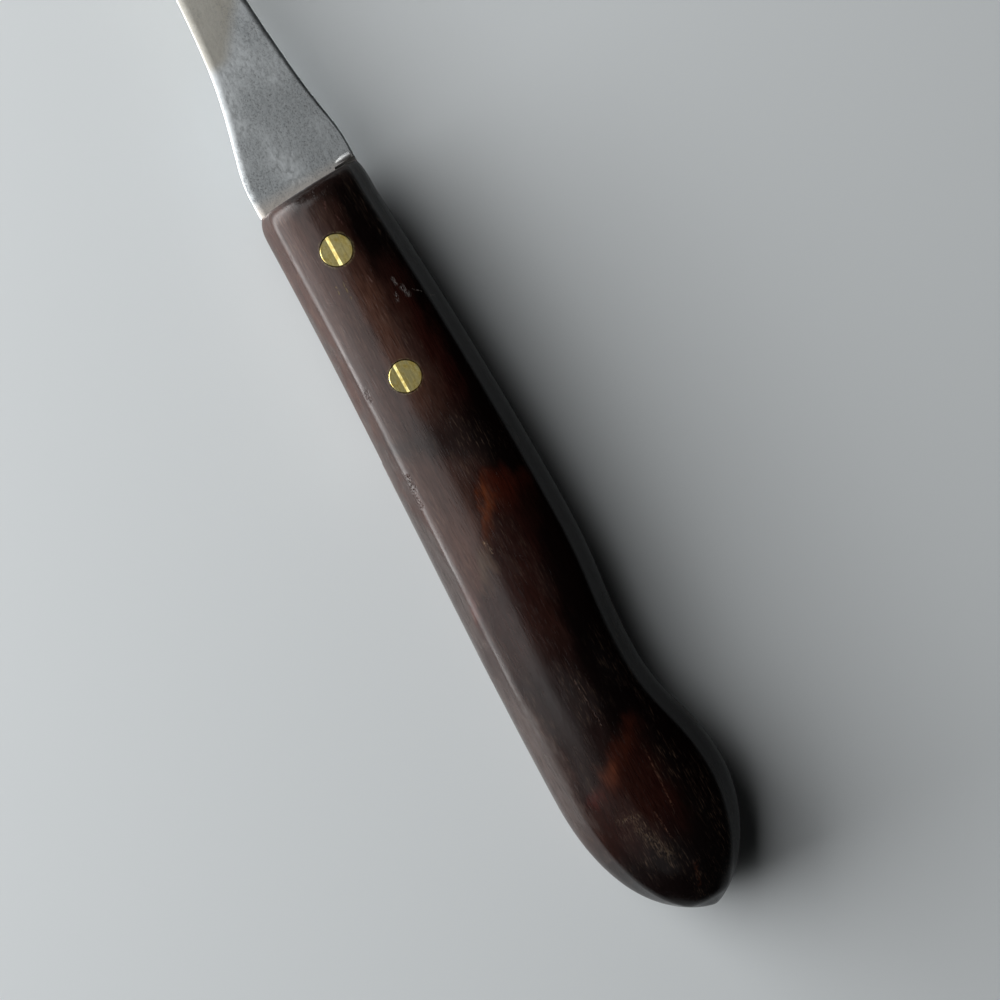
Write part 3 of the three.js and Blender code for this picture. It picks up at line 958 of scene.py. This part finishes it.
@dataclass
class Rivet:
    """One two-piece cutler's rivet: a stud pressed into a tube, both heads flush with the cheeks.

    Sizes are in millimetres.
    """

    bench: Workbench
    name: str
    from_front: float
    offset: float = 0.65
    cheek: float = 7.95
    head: float = 2.4
    head_thickness: float = 1.8
    tube: float = 1.6
    pin: float = 0.95
    tube_short: float = 0.6
    pin_short: float = 1.4
    clearance: float = 0.08
    rim: float = 0.1
    sunk: float = 0.06
    step_offset: float = 0.4
    step_width: float = 0.5
    step_drop: float = 0.14
    front_pass: float = math.radians(-1.0)
    back_pass: float = math.radians(0.8)
    facet_angle: float = 6.0

    def turned(self, name: str, profile: Points) -> Object:
        """Turns one solid on the rivet's axis."""
        return self.bench.turned(name, -self.from_front, self.offset, profile)

    def hole(self) -> Object:
        """Makes the solid that cuts the stepped hole, counterbored at both cheeks."""
        head, tube = self.head + self.clearance, self.tube + self.clearance
        seat, far = self.cheek - self.head_thickness, 2 * self.cheek
        profile = [(head, -far), (head, -seat), (tube, -seat), (tube, seat), (head, seat), (head, far)]
        return self.turned("hole", profile)

    def file_head(self, made: Object, cheek: Cheek) -> Object:
        """Files a level head down to the curve of the wood, in two passes with a narrow steep step between.

        Args:
            made: The half of the rivet.
            cheek: The cheek that its head lies in.

        Returns:
            The same half.
        """
        side = cheek.value
        bench = self.bench
        bench.choose(made)
        bpy.ops.object.mode_set(mode="EDIT")
        mesh = bmesh.from_edit_mesh(made.data)
        level = bench.place(0, 0, side * (self.cheek - self.sunk - 2 * self.rim)).z
        middle = self.offset + self.step_offset
        low, high = (bench.place(0, middle + way * self.step_width / 2, 0).y for way in (-1, 1))
        for limit in (low, high):
            bench.pick(mesh, [v for v in mesh.verts if (v.co.z - level) * side > 0])
            bpy.ops.mesh.bisect(plane_co=(0, limit, 0), plane_no=(0, 1, 0), threshold=ON_PLANE)
        head = [v for v in mesh.verts if (v.co.z - level) * side > 0]
        top = bench.place(0, 0, side * (self.cheek - self.sunk)).z
        bench.pick(mesh, [v for v in head if v.co.y > high - NEAR])
        bpy.ops.transform.translate(value=(0, 0, -side * self.step_drop * MM))
        hinge = (0, high, top - side * self.step_drop * MM)
        bpy.ops.transform.rotate(value=side * self.back_pass, orient_axis="X", center_override=hinge)
        bench.pick(mesh, [v for v in head if v.co.y < low + NEAR])
        hinge = (0, low, top)
        bpy.ops.transform.rotate(value=-side * self.front_pass, orient_axis="X", center_override=hinge)
        bench.close()
        bench.smooth(made, self.facet_angle)
        return made

    def stud(self) -> Object:
        """Makes the upper half, a head with a solid pin."""
        seat = self.cheek - self.head_thickness
        top = self.cheek - self.sunk
        profile = [
            (self.pin, self.pin_short - seat),
            (self.pin, seat),
            (self.head, seat),
            (self.head, top - self.rim),
            (self.head - self.rim, top),
        ]
        return self.file_head(self.turned(f"{self.name}_rivet_stud_brass", profile), Cheek.UPPER)

    def socket(self) -> Object:
        """Makes the lower half, a head with a tube for the pin."""
        seat = self.cheek - self.head_thickness
        low = self.sunk - self.cheek
        top = seat - self.tube_short
        bore = self.pin + self.clearance
        profile = [
            (self.head - self.rim, low),
            (self.head, low + self.rim),
            (self.head, -seat),
            (self.tube, -seat),
            (self.tube, top),
            (bore, top),
            (bore, self.pin_short - self.clearance - seat),
        ]
        return self.file_head(self.turned(f"{self.name}_rivet_tube_brass", profile), Cheek.LOWER)


@dataclass
class Handle:
    """The rosewood handle: a board shaped in plan, crowned on both cheeks and slotted for the tang.

    Sizes are in millimetres; the half widths lie either side of the handle's axis. The three points of the
    section, where the crown ends, the arris that is eased away and where the flank starts, are shares of the
    half width and of half the thickness.
    """

    bench: Workbench
    length: float = 120.5
    thickness: float = 15.9
    land: float = 0.3
    land_ratio: float = 10.0
    crown_end: tuple[float, float] = (0.68, 0.805)
    arris: tuple[float, float] = (0.77, 0.753)
    flank_start: tuple[float, float] = (0.8, 0.675)
    arris_ease: float = 0.62
    flank_run: float = 3.2
    flank_height: float = 0.3
    round_steps: int = 7
    front_round_length: float = 3.2
    front_round_depth: float = 2.6
    butt_round_length: float = 8.5
    front_half: float = 8.3
    front_ease: float = 5.0
    back_front: float = 9.15
    back_butt: float = 11.4
    back_butt_from_end: float = 24.0
    belly_front: float = 8.75
    swell: float = 11.1
    swell_from_end: float = 61.0
    hollow: float = 9.75
    hollow_from_end: float = 39.0
    hump: float = 13.35
    hump_from_end: float = 18.0
    hump_run: float = 0.35
    beak: float = 2.2
    beak_bluntness: float = 2.4
    beak_cut: float = 0.02
    back_fall: float = 0.7
    belly_fall: float = 0.64
    skew: float = math.radians(3.5)
    skew_fade: float = 14.0
    slot_end: float = 40.22
    slot_belly: float = 5.02
    slot_corner: float = 3.0
    slot_half: float = 1.32
    slot_corner_steps: int = 8
    front_steps: int = 8
    body_steps: int = 64
    butt_steps: int = 60
    back: list[Bow] = field(init=False)
    belly: list[Bow] = field(init=False)
    rounding: list[Bow] = field(init=False)

    def __post_init__(self) -> None:
        """Draws a quarter of the section and the two outlines."""
        crown, arris, flank = (Vector(point) for point in (self.crown_end, self.arris, self.flank_start))
        third = (arris - crown) * crown.x / (3 * (arris.x - crown.x))
        lead, follow = (point.lerp(arris, self.arris_ease) for point in (crown, flank))
        steep = flank + (flank - arris) * self.flank_run
        self.rounding = [
            Bow((0.0, 1.0), (crown.x / 3, 1.0), tuple(crown - third), tuple(crown)),
            Bow(tuple(crown), tuple(lead), tuple(follow), tuple(flank)),
            Bow(tuple(flank), tuple(steep), (1.0, self.flank_height), (1.0, 0.0)),
        ]
        butt = self.length - self.back_butt_from_end
        blunt = self.length - self.beak_bluntness
        fall = (self.back_butt + self.beak) * self.back_fall
        start = (0.0, self.front_half)
        ease = self.front_ease
        self.back = [
            Bow(start, (ease / 4, self.back_front), (ease / 2, self.back_front), (ease, self.back_front)),
            level_bow((ease, self.back_front), (butt, self.back_butt), reach=1 / 3),
            Bow(
                (butt, self.back_butt),
                (butt + self.back_butt_from_end / 2, self.back_butt),
                (blunt, fall - self.beak),
                (self.length, -self.beak),
            ),
        ]
        swell = (self.length - self.swell_from_end, self.swell)
        hollow = (self.length - self.hollow_from_end, self.hollow)
        hump = (self.length - self.hump_from_end, self.hump)
        rising = (self.belly_front + self.swell) / 2
        drop = (self.hump - self.beak) * self.belly_fall
        self.belly = [
            Bow(start, (ease / 4, self.belly_front), (ease / 2, self.belly_front), (ease, self.belly_front)),
            Bow((ease, self.belly_front), (swell[0] / 3, rising), (swell[0] * 2 / 3, self.swell), swell),
            level_bow(swell, hollow),
            level_bow(hollow, hump),
            Bow(
                hump,
                (hump[0] + self.hump_from_end * self.hump_run, self.hump),
                (blunt, self.beak + drop),
                (self.length, self.beak),
            ),
        ]

    def skew_at(self, along: float) -> float:
        """Returns how far a section is turned in plan, at a distance either side of the front end."""
        return self.skew * max(0.0, 1 - abs(along) / self.skew_fade)

    def cheek(self, along: float) -> float:
        """Returns half the thickness at a distance from the front end."""
        past = max(0.0, along - self.length + self.butt_round_length) / self.butt_round_length
        full = self.thickness / 2 - set_back(along, self.front_round_length, self.front_round_depth)
        return full * outline_height(self.rounding, past)

    def station(self, along: float) -> Station:
        """Returns the section at a distance from the front end."""
        high = outline_height(self.back, along)
        low = -outline_height(self.belly, along)
        half = (high - low) / 2
        rise = self.cheek(along)
        corner = Corner(half - min(self.land, half / self.land_ratio), rise)
        return Station(-along, high, low, rise, corner, corner, skew=self.skew_at(along))

    def blank(self) -> Object:
        """Sweeps the wood from its front end to the beak, before the slot and the holes are cut."""
        butt = self.length - self.back_butt_from_end
        end = self.length - self.beak_cut
        places = [
            0.0,
            *roundly(self.front_round_length, 0, self.front_steps)[1:][::-1],
            *evenly(self.front_round_length, butt, self.body_steps),
            *roundly(butt, end, self.butt_steps),
            end,
        ]
        shares = evenly(0, 1, self.round_steps)
        points = [(bow.at(share, 0), bow.at(share, 1)) for bow in self.rounding for share in shares]
        stations = [self.station(place) for place in places]
        return self.bench.sweep("handle_wood", stations, [*points, (1.0, 0.0)])

    def slot(self) -> Object:
        """Makes the solid that cuts the tang's slot, open at the front end and along the back."""
        far = self.thickness
        size = (far + self.slot_end, self.slot_belly + self.back_butt + far, 2 * self.slot_half)
        middle = self.bench.place(far - size[0] / 2, size[1] / 2 - self.slot_belly, 0)
        bpy.ops.mesh.primitive_cube_add(size=1, location=middle)
        bpy.context.object.scale = Vector(size) * MM
        made = self.bench.open_new("slot")
        mesh = bmesh.from_edit_mesh(made.data)
        self.bench.pick(mesh, [v for v in mesh.verts if v.co.x < middle.x and v.co.y < middle.y])
        steps = self.slot_corner_steps
        bpy.ops.mesh.bevel(offset=self.slot_corner * MM, segments=steps, affect="EDGES")
        self.bench.close()
        return made

    def cut(self, wood: Object, rivets: list[Rivet]) -> Object:
        """Cuts the slot and a stepped hole for each rivet.

        Args:
            wood: The uncut handle.
            rivets: The rivets that pass through it.

        Returns:
            The same object.
        """
        self.bench.combine(wood, self.slot(), Way.CUT)
        for rivet in rivets:
            self.bench.combine(wood, rivet.hole(), Way.CUT)
        self.bench.smooth(wood)
        return wood


@dataclass
class Fork:
    """The steel fork: a tang, a shoulder as wide as the handle, a waisted shank and two swept tines.

    Sizes are in millimetres, measured from the handle's front end.
    """

    bench: Workbench
    handle: Handle
    reach: float = 178.0
    half_plate: float = 1.3
    half_tip: float = 0.75
    seat: float = 0.1
    notch: float = 0.8
    notch_leaf: float = 0.4
    burr_size: tuple[float, float, float] = (0.62, 3.4, 0.42)
    burr_inset: float = 0.5
    burr_end: float = 0.5
    shoulder: float = 8.3
    shoulder_length: float = 3.4
    waist: float = 4.2
    waist_at: float = 46.0
    shank_offset: float = 0.65
    crotch_at: float = 87.0
    gap: float = 4.7
    head: float = 10.8
    head_past_crotch: float = 8.0
    tip_spacing: float = 7.1
    tip_width: float = 1.5
    point_length: float = 9.0
    edge_width: float = 0.8
    edge_depth: float = 0.24
    back_edge_width: float = 1.1
    belly_edge_width: float = 0.3
    waist_edge_width: float = 1.4
    flat: float = 15.0
    sweep_from_tip: float = 56.0
    tip_rise: float = 7.0
    half_tang: float = 1.2
    tang_belly: float = 4.9
    tang_end: float = 40.1
    tang_corner: float = 3.0
    tang_sunk: float = 0.15
    closed: float = 0.01
    shoulder_ease: float = 0.15
    waist_ease: float = 0.25
    shoulder_places: tuple[float, float] = (1.2, 2.2)
    seam_gap: float = 0.6
    point_taper: float = 0.99
    deepest_edge: float = 0.7
    widest_edge: float = 0.4
    edge_steps: int = 6
    flat_steps: int = 10
    shank_steps: int = 22
    tang_steps: int = 20
    tang_corner_steps: int = 8
    crotch_edge_steps: int = 5
    crotch_steps: int = 14
    tine_steps: int = 40
    point_steps: int = 12
    burr_sides: int = 48
    burr_rings: int = 32
    outer: list[Bow] = field(init=False)

    def __post_init__(self) -> None:
        """Draws the outer edge of one half of the fork, from its own middle line."""
        run = self.waist_at - self.shoulder_length
        head_at = self.crotch_at + self.head_past_crotch
        tip = self.tip_spacing + self.tip_width / 2
        start = (self.shoulder_length, self.shoulder)
        waist = (self.waist_at, self.waist)
        lead = self.shoulder_length + run * self.shoulder_ease
        follow = self.shoulder_length + run * self.waist_ease
        self.outer = [
            level_bow((0.0, self.shoulder), start),
            Bow(start, (lead, self.shoulder), (follow, self.waist), waist),
            level_bow(waist, (head_at, self.head)),
            level_bow((head_at, self.head), (self.reach, tip), reach=1 / 3),
        ]

    def half_at(self, along: float) -> float:
        """Returns half the thickness, even along the shank and thinning along the tines."""
        head_at = self.crotch_at + self.head_past_crotch
        share = min(max((along - head_at) / (self.reach - head_at), 0), 1)
        return self.half_plate + (self.half_tip - self.half_plate) * share

    def rise_at(self, along: float) -> float:
        """Returns the height of the plate's middle: flat, then down to the sweep, then up to the points."""
        lowest = self.reach - self.sweep_from_tip
        drop = self.handle.thickness / 2 - self.half_at(lowest)
        if along > lowest:
            return self.tip_rise * ((along - lowest) / self.sweep_from_tip) ** 2 - drop
        share = max(0.0, along - self.flat) / (lowest - self.flat)
        return -drop * (1 - math.cos(math.pi * share)) / 2

    def middle_at(self, along: float) -> float:
        """Returns the place of the fork's middle line across the handle's axis."""
        return -self.shank_offset * smoothstep(along, self.shoulder_length, self.waist_at / 2)

    def outer_corner(self, along: float, edge: Edge) -> Corner:
        """Gives the rounding of one outer edge, widest at the waist and slight at the shoulder's belly.

        Args:
            along: Place along the fork.
            edge: The edge.

        Returns:
            The rounding there.
        """
        far = self.back_edge_width if edge is Edge.BACK else self.belly_edge_width
        if along > self.waist_at:
            far = self.edge_width
        away = abs(along - self.waist_at) / (self.waist_at - self.shoulder_length)
        width = self.waist_edge_width + (far - self.waist_edge_width) * min(1.0, away)
        return Corner(width, self.edge_depth)

    def plate(self, along: float) -> Station:
        """Returns the whole section of the shoulder or the shank."""
        out = outline_height(self.outer, along)
        middle = self.middle_at(along)
        return Station(
            along,
            middle + out,
            middle - out,
            self.half_plate,
            self.outer_corner(along, Edge.BACK),
            self.outer_corner(along, Edge.BELLY),
            self.rise_at(along),
            self.handle.skew_at(along),
        )

    def tang(self, along: float) -> Station:
        """Returns the section of the tang at a distance behind the handle's front end."""
        left = self.tang_end - along
        belly = -self.tang_belly + set_back(left, self.tang_corner, self.tang_corner)
        high = outline_height(self.handle.back, along) - self.tang_sunk
        corner = Corner(self.closed, self.closed)
        return Station(-along, high, belly, self.half_tang, corner, corner, skew=self.handle.skew_at(along))

    def stem(self, end: float) -> Object:
        """Sweeps the fork from the end of its tang to just before the crotch."""
        corner = self.tang_end - self.tang_corner
        hidden = [
            self.tang_end,
            *roundly(corner, self.tang_end, self.tang_corner_steps)[1:][::-1],
            *evenly(corner, 0.0, self.tang_steps),
        ]
        shown = [
            self.seat,
            *self.shoulder_places,
            *evenly(self.shoulder_length, self.flat, self.flat_steps),
            *evenly(self.flat, self.waist_at, self.shank_steps),
            *evenly(self.waist_at, end, self.shank_steps),
            end,
        ]
        stations = [
            *(self.tang(place) for place in hidden),
            replace(self.tang(0.0), along=self.seat),
            *(self.plate(place) for place in shown),
        ]
        return self.bench.sweep("fork_steel", stations, quarter_round(self.edge_steps))

    def tine_section(self, along: float, edge: Edge) -> Station:
        """Returns the section of one tine, closed against its twin before the crotch.

        Args:
            along: Place along the fork.
            edge: The edge that the tine lies at.

        Returns:
            The tine's station.
        """
        head_at = self.crotch_at + self.head_past_crotch
        past = along - self.crotch_at
        share = max(0.0, along - head_at) / (self.reach - head_at)
        widening = share * (self.tip_spacing - self.tip_width / 2 - self.gap)
        around = max(0.0, self.gap - past)
        wall = math.sqrt(max(0.0, self.gap ** 2 - around ** 2)) if past > 0 else 0.0
        land = math.sqrt(max(0.0, (self.gap + self.edge_width) ** 2 - around ** 2))
        sunk = min(1.0, max(0.0, 1 + past / self.edge_width))
        depth = self.edge_depth * (1 - math.sqrt(1 - sunk * sunk))
        inner, out = wall + widening, outline_height(self.outer, along)
        nose = max(0.0, along - self.reach + self.point_length) / self.point_length
        drawn = math.sqrt(1 - self.point_taper * nose * nose)
        centre = (inner + out) / 2
        inner, out = (centre + (value - centre) * drawn for value in (inner, out))
        half = self.half_at(along) * drawn
        deepest = half * self.deepest_edge
        widest = (out - inner) * self.widest_edge
        outside = self.outer_corner(along, edge)
        outside = Corner(min(outside.width, widest), min(outside.depth, deepest))
        inside = Corner(max(min(land - wall, widest), self.closed), max(min(depth, deepest), self.closed))
        middle, rise = self.middle_at(along), self.rise_at(along)
        if edge is Edge.BACK:
            return Station(along, middle + out, middle + inner, half, outside, inside, rise)
        return Station(along, middle - inner, middle - out, half, inside, outside, rise)

    def tine(self, edge: Edge, start: float) -> Object:
        """Sweeps one tine from just before the crotch to its point."""
        crotch, point = self.crotch_at, self.reach - self.point_length
        places = [
            start,
            *roundly(crotch, crotch - self.edge_width, self.crotch_edge_steps)[1:][::-1],
            *roundly(crotch + self.gap, crotch, self.crotch_steps)[::-1],
            *evenly(crotch + self.gap, point, self.tine_steps)[1:],
            *roundly(point, self.reach, self.point_steps),
            self.reach,
        ]
        stations = [self.tine_section(place, edge) for place in places]
        return self.bench.sweep("tine", stations, quarter_round(self.edge_steps))

    def join(self, stem: Object, tines: list[Object], seam: float) -> None:
        """Welds both tines to the stem, and to each other as far as the crotch.

        Args:
            stem: The stem, which becomes the whole fork.
            tines: The tines.
            seam: Place of the joint along the fork.
        """
        self.bench.choose(stem)
        for tine in tines:
            tine.select_set(True)
        bpy.ops.object.join()
        bpy.ops.object.mode_set(mode="EDIT")
        mesh = bmesh.from_edit_mesh(stem.data)
        at = self.bench.place(seam, self.middle_at(seam), 0)
        crotch = self.bench.place(self.crotch_at, 0, 0).x
        near = 2 * self.closed * MM
        self.bench.pick(mesh, [v for v in mesh.verts if abs(v.co.x - at.x) < near])
        bpy.ops.mesh.delete(type="ONLY_FACE")
        self.bench.pick(
            mesh,
            [v for v in mesh.verts if abs(v.co.y - at.y) < near and at.x - near < v.co.x < crotch],
        )
        bpy.ops.mesh.delete(type="ONLY_FACE")
        far = self.edge_width * MM
        across = [
            edge
            for edge in mesh.edges
            if all(abs(v.co.x - at.x) < near and abs(v.co.y - at.y) > far for v in edge.verts)
            and (edge.verts[0].co.y - at.y) * (edge.verts[1].co.y - at.y) < 0
        ]
        self.bench.pick(mesh, [vert for edge in across for vert in edge.verts])
        bpy.ops.mesh.subdivide(number_cuts=1)
        bpy.ops.mesh.select_all(action="SELECT")
        bpy.ops.mesh.remove_doubles(threshold=2 * near)
        bpy.ops.mesh.delete_loose(use_verts=True, use_edges=True, use_faces=False)
        self.bench.close()

    def turned_place(self, along: float, across: float, up: float) -> Vector:
        """Returns a point laid out square to the handle's front end, which is turned in plan."""
        turn = Matrix.Rotation(self.handle.skew, 3, "Z")
        return self.bench.zero + turn @ Vector((along, across, up)) * MM

    def notch_cutter(self) -> Object:
        """Makes the solid that cuts the notch between the belly of the shoulder and the wood."""
        low, high = self.notch_leaf - self.half_plate, 2 * self.half_plate
        size = (2 * self.notch, self.shoulder, high - low)
        middle = self.turned_place(0, -self.tang_belly - self.shoulder / 2, (low + high) / 2)
        bpy.ops.mesh.primitive_cube_add(size=1, location=middle, rotation=(0, 0, self.handle.skew))
        bpy.context.object.scale = Vector(size) * MM
        made = self.bench.open_new("notch")
        self.bench.close()
        return made

    def burr(self) -> Object:
        """Makes the burr that the press left along the notch, highest towards the belly."""
        up = self.half_plate - self.burr_size[2] / 2
        bpy.ops.mesh.primitive_uv_sphere_add(
            segments=self.burr_sides,
            ring_count=self.burr_rings,
            radius=1,
            location=self.turned_place(self.notch + self.burr_inset, -self.shoulder, up),
            rotation=(0, 0, self.handle.skew),
        )
        bpy.context.object.scale = Vector(self.burr_size) * MM
        made = self.bench.open_new("burr")
        bpy.ops.mesh.bisect(
            plane_co=self.bench.place(0, self.burr_end - self.shoulder, 0),
            plane_no=(0, 1, 0),
            clear_inner=True,
            use_fill=True,
            threshold=ON_PLANE,
        )
        self.bench.close()
        return made

    def build(self, rivets: list[Rivet]) -> Object:
        """Makes the whole fork, with a hole in the tang for each rivet.

        Args:
            rivets: The rivets that pass through the tang.

        Returns:
            The fork's object.
        """
        seam = self.crotch_at - self.edge_width - self.seam_gap
        steel = self.stem(seam)
        self.join(steel, [self.tine(edge, seam) for edge in Edge], seam)
        self.bench.combine(steel, self.burr(), Way.JOIN)
        for cutter in (self.notch_cutter, *(rivet.hole for rivet in rivets)):
            self.bench.combine(steel, cutter(), Way.CUT)
        self.bench.smooth(steel)
        return steel


@dataclass(frozen=True)
class Lamp:
    """One soft rectangular lamp, placed from the middle of the picture, in millimetres.

    Attributes:
        name: The lamp's name.
        left: How far left of the picture's middle it hangs.
        below: How far below the picture's middle it hangs.
        up: Its height above the floor.
        aim: How far left of the middle, and how high, its face points.
        size: Width and height of its face.
        radiance: How bright the face is, where a white surface in the room is about 1.
    """

    name: str
    left: float
    below: float
    up: float
    aim: tuple[float, float]
    size: tuple[float, float]
    radiance: float


@dataclass
class Studio:
    """A pale floor, soft light from one side, and the camera straight above the handle.

    Attributes:
        zero: The middle of the handle's front end, in metres.
        look_along: Place under the camera along the handle, in millimetres.
        look_across: Place under the camera across the handle, in millimetres.
        height: Camera's height above the middle of the handle, in millimetres.
        view_width: What the picture spans at that middle, in millimetres.
        turn: The camera's turn about its own line of sight, in degrees.
    """

    zero: Vector
    look_along: float = -53.31
    look_across: float = -2.76
    height: float = 412.0
    view_width: float = 147.06
    turn: float = 241.31
    floor_side: float = 6000.0
    floor_colour: str = "e0e5e7"
    floor_roughness: float = 0.6
    light_colour: str = "ffffff"
    sky: float = 0.008
    lamps: tuple[Lamp, ...] = (
        Lamp("window", 700, -90, 148, (0, 148), (1040, 270), 9.2),
        Lamp("wall", 700, -70, 492, (0, 492), (1060, 418), 3.3),
        Lamp("ceiling", 475, -110, 800, (0, 0), (960, 490), 1.55),
    )

    def camera(self) -> None:
        """Sets the camera at the photograph's viewing angle."""
        data = bpy.data.cameras.new("camera")
        data.sensor_fit = "HORIZONTAL"
        data.lens = data.sensor_width * self.height / self.view_width
        made = bpy.data.objects.new("camera", data)
        made.location = self.zero + Vector((self.look_along, self.look_across, self.height)) * MM
        made.rotation_euler = (0, 0, math.radians(self.turn))
        bpy.context.scene.collection.objects.link(made)
        bpy.context.scene.camera = made

    def floor(self) -> None:
        """Lays the pale floor that the fork rests on."""
        bpy.ops.mesh.primitive_plane_add(size=self.floor_side * MM)
        made = bpy.context.object
        made.name = made.data.name = "floor"
        material = bpy.data.materials.new("pale_floor")
        material.use_nodes = True
        tree = material.node_tree
        look = {"Base Color": linear(self.floor_colour), "Roughness": self.floor_roughness}
        feed(tree, tree.nodes["Principled BSDF"], look)
        made.data.materials.append(material)

    def seen(self, left: float, below: float, up: float) -> Vector:
        """Returns a place given from the picture's middle, in metres in the row frame."""
        angle = math.radians(self.turn)
        right = Vector((math.cos(angle), math.sin(angle), 0))
        above = Vector((-math.sin(angle), math.cos(angle), 0))
        middle = self.zero + Vector((self.look_along, self.look_across, 0)) * MM
        place = middle - (left * right + below * above) * MM
        place.z = up * MM
        return place

    def hang(self, lamp: Lamp) -> None:
        """Hangs one lamp, turned to where it points.

        Args:
            lamp: The lamp.
        """
        data = bpy.data.lights.new(lamp.name, "AREA")
        data.shape = "RECTANGLE"
        data.size, data.size_y = (side * MM for side in lamp.size)
        data.energy = lamp.radiance * math.pi * data.size * data.size_y
        data.color = linear(self.light_colour)[:3]
        made = bpy.data.objects.new(lamp.name, data)
        made.location = self.seen(lamp.left, lamp.below, lamp.up)
        target = self.seen(lamp.aim[0], lamp.below, lamp.aim[1])
        made.rotation_euler = (target - made.location).to_track_quat("-Z", "Y").to_euler()
        made.visible_camera = False
        bpy.context.scene.collection.objects.link(made)

    def world(self) -> None:
        """Fills the room with a weak even light."""
        made = bpy.data.worlds.new("room")
        made.use_nodes = True
        background = made.node_tree.nodes["Background"]
        background.inputs["Color"].default_value = linear(self.light_colour)
        background.inputs["Strength"].default_value = self.sky
        bpy.context.scene.world = made

    def build(self) -> None:
        """Sets up the whole studio."""
        bpy.context.scene.view_settings.view_transform = "Standard"
        self.camera()
        self.floor()
        self.world()
        for lamp in self.lamps:
            self.hang(lamp)


def hand_over(piece: Object, node: str, finish: Material) -> None:
    """Dresses a piece and puts it in the place of its CAD node.

    Args:
        piece: The piece.
        node: The CAD node that it stands for.
        finish: Its material.
    """
    piece.data.materials.clear()
    piece.data.materials.append(finish)
    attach(piece, "root")
    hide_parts(node)
    log.info("piece %s: %d faces", piece.name, len(piece.data.polygons))


def main() -> None:
    """Builds the pieces in order, dresses them and reports each."""
    logging.basicConfig(level=logging.INFO, format="%(message)s")
    low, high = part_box("handle")
    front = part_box("fork")[1].x - Fork.reach * MM
    zero = Vector((front, high.y - Handle.back_butt * MM, (low.z + high.z) / 2))
    Studio(zero).build()
    bench = Workbench(zero)
    handle = Handle(bench)
    rivets = [
        Rivet(bench, "front", from_front=10.35),
        Rivet(bench, "rear", from_front=31.1, step_offset=0.68, step_width=0.4, step_drop=0.1),
    ]
    for rivet in rivets:
        brass = FiledBrass().make(bench.place(-rivet.from_front, rivet.offset, 0))
        hand_over(rivet.stud(), f"{rivet.name}_rivet_stud", brass)
        hand_over(rivet.socket(), f"{rivet.name}_rivet_tube", brass)
    hand_over(handle.cut(handle.blank(), rivets), "handle", Rosewood().make(zero))
    fork = Fork(bench, handle)
    hand_over(fork.build(rivets), "fork", GroundSteel().make(zero))


if __name__ == "__main__":
    main()
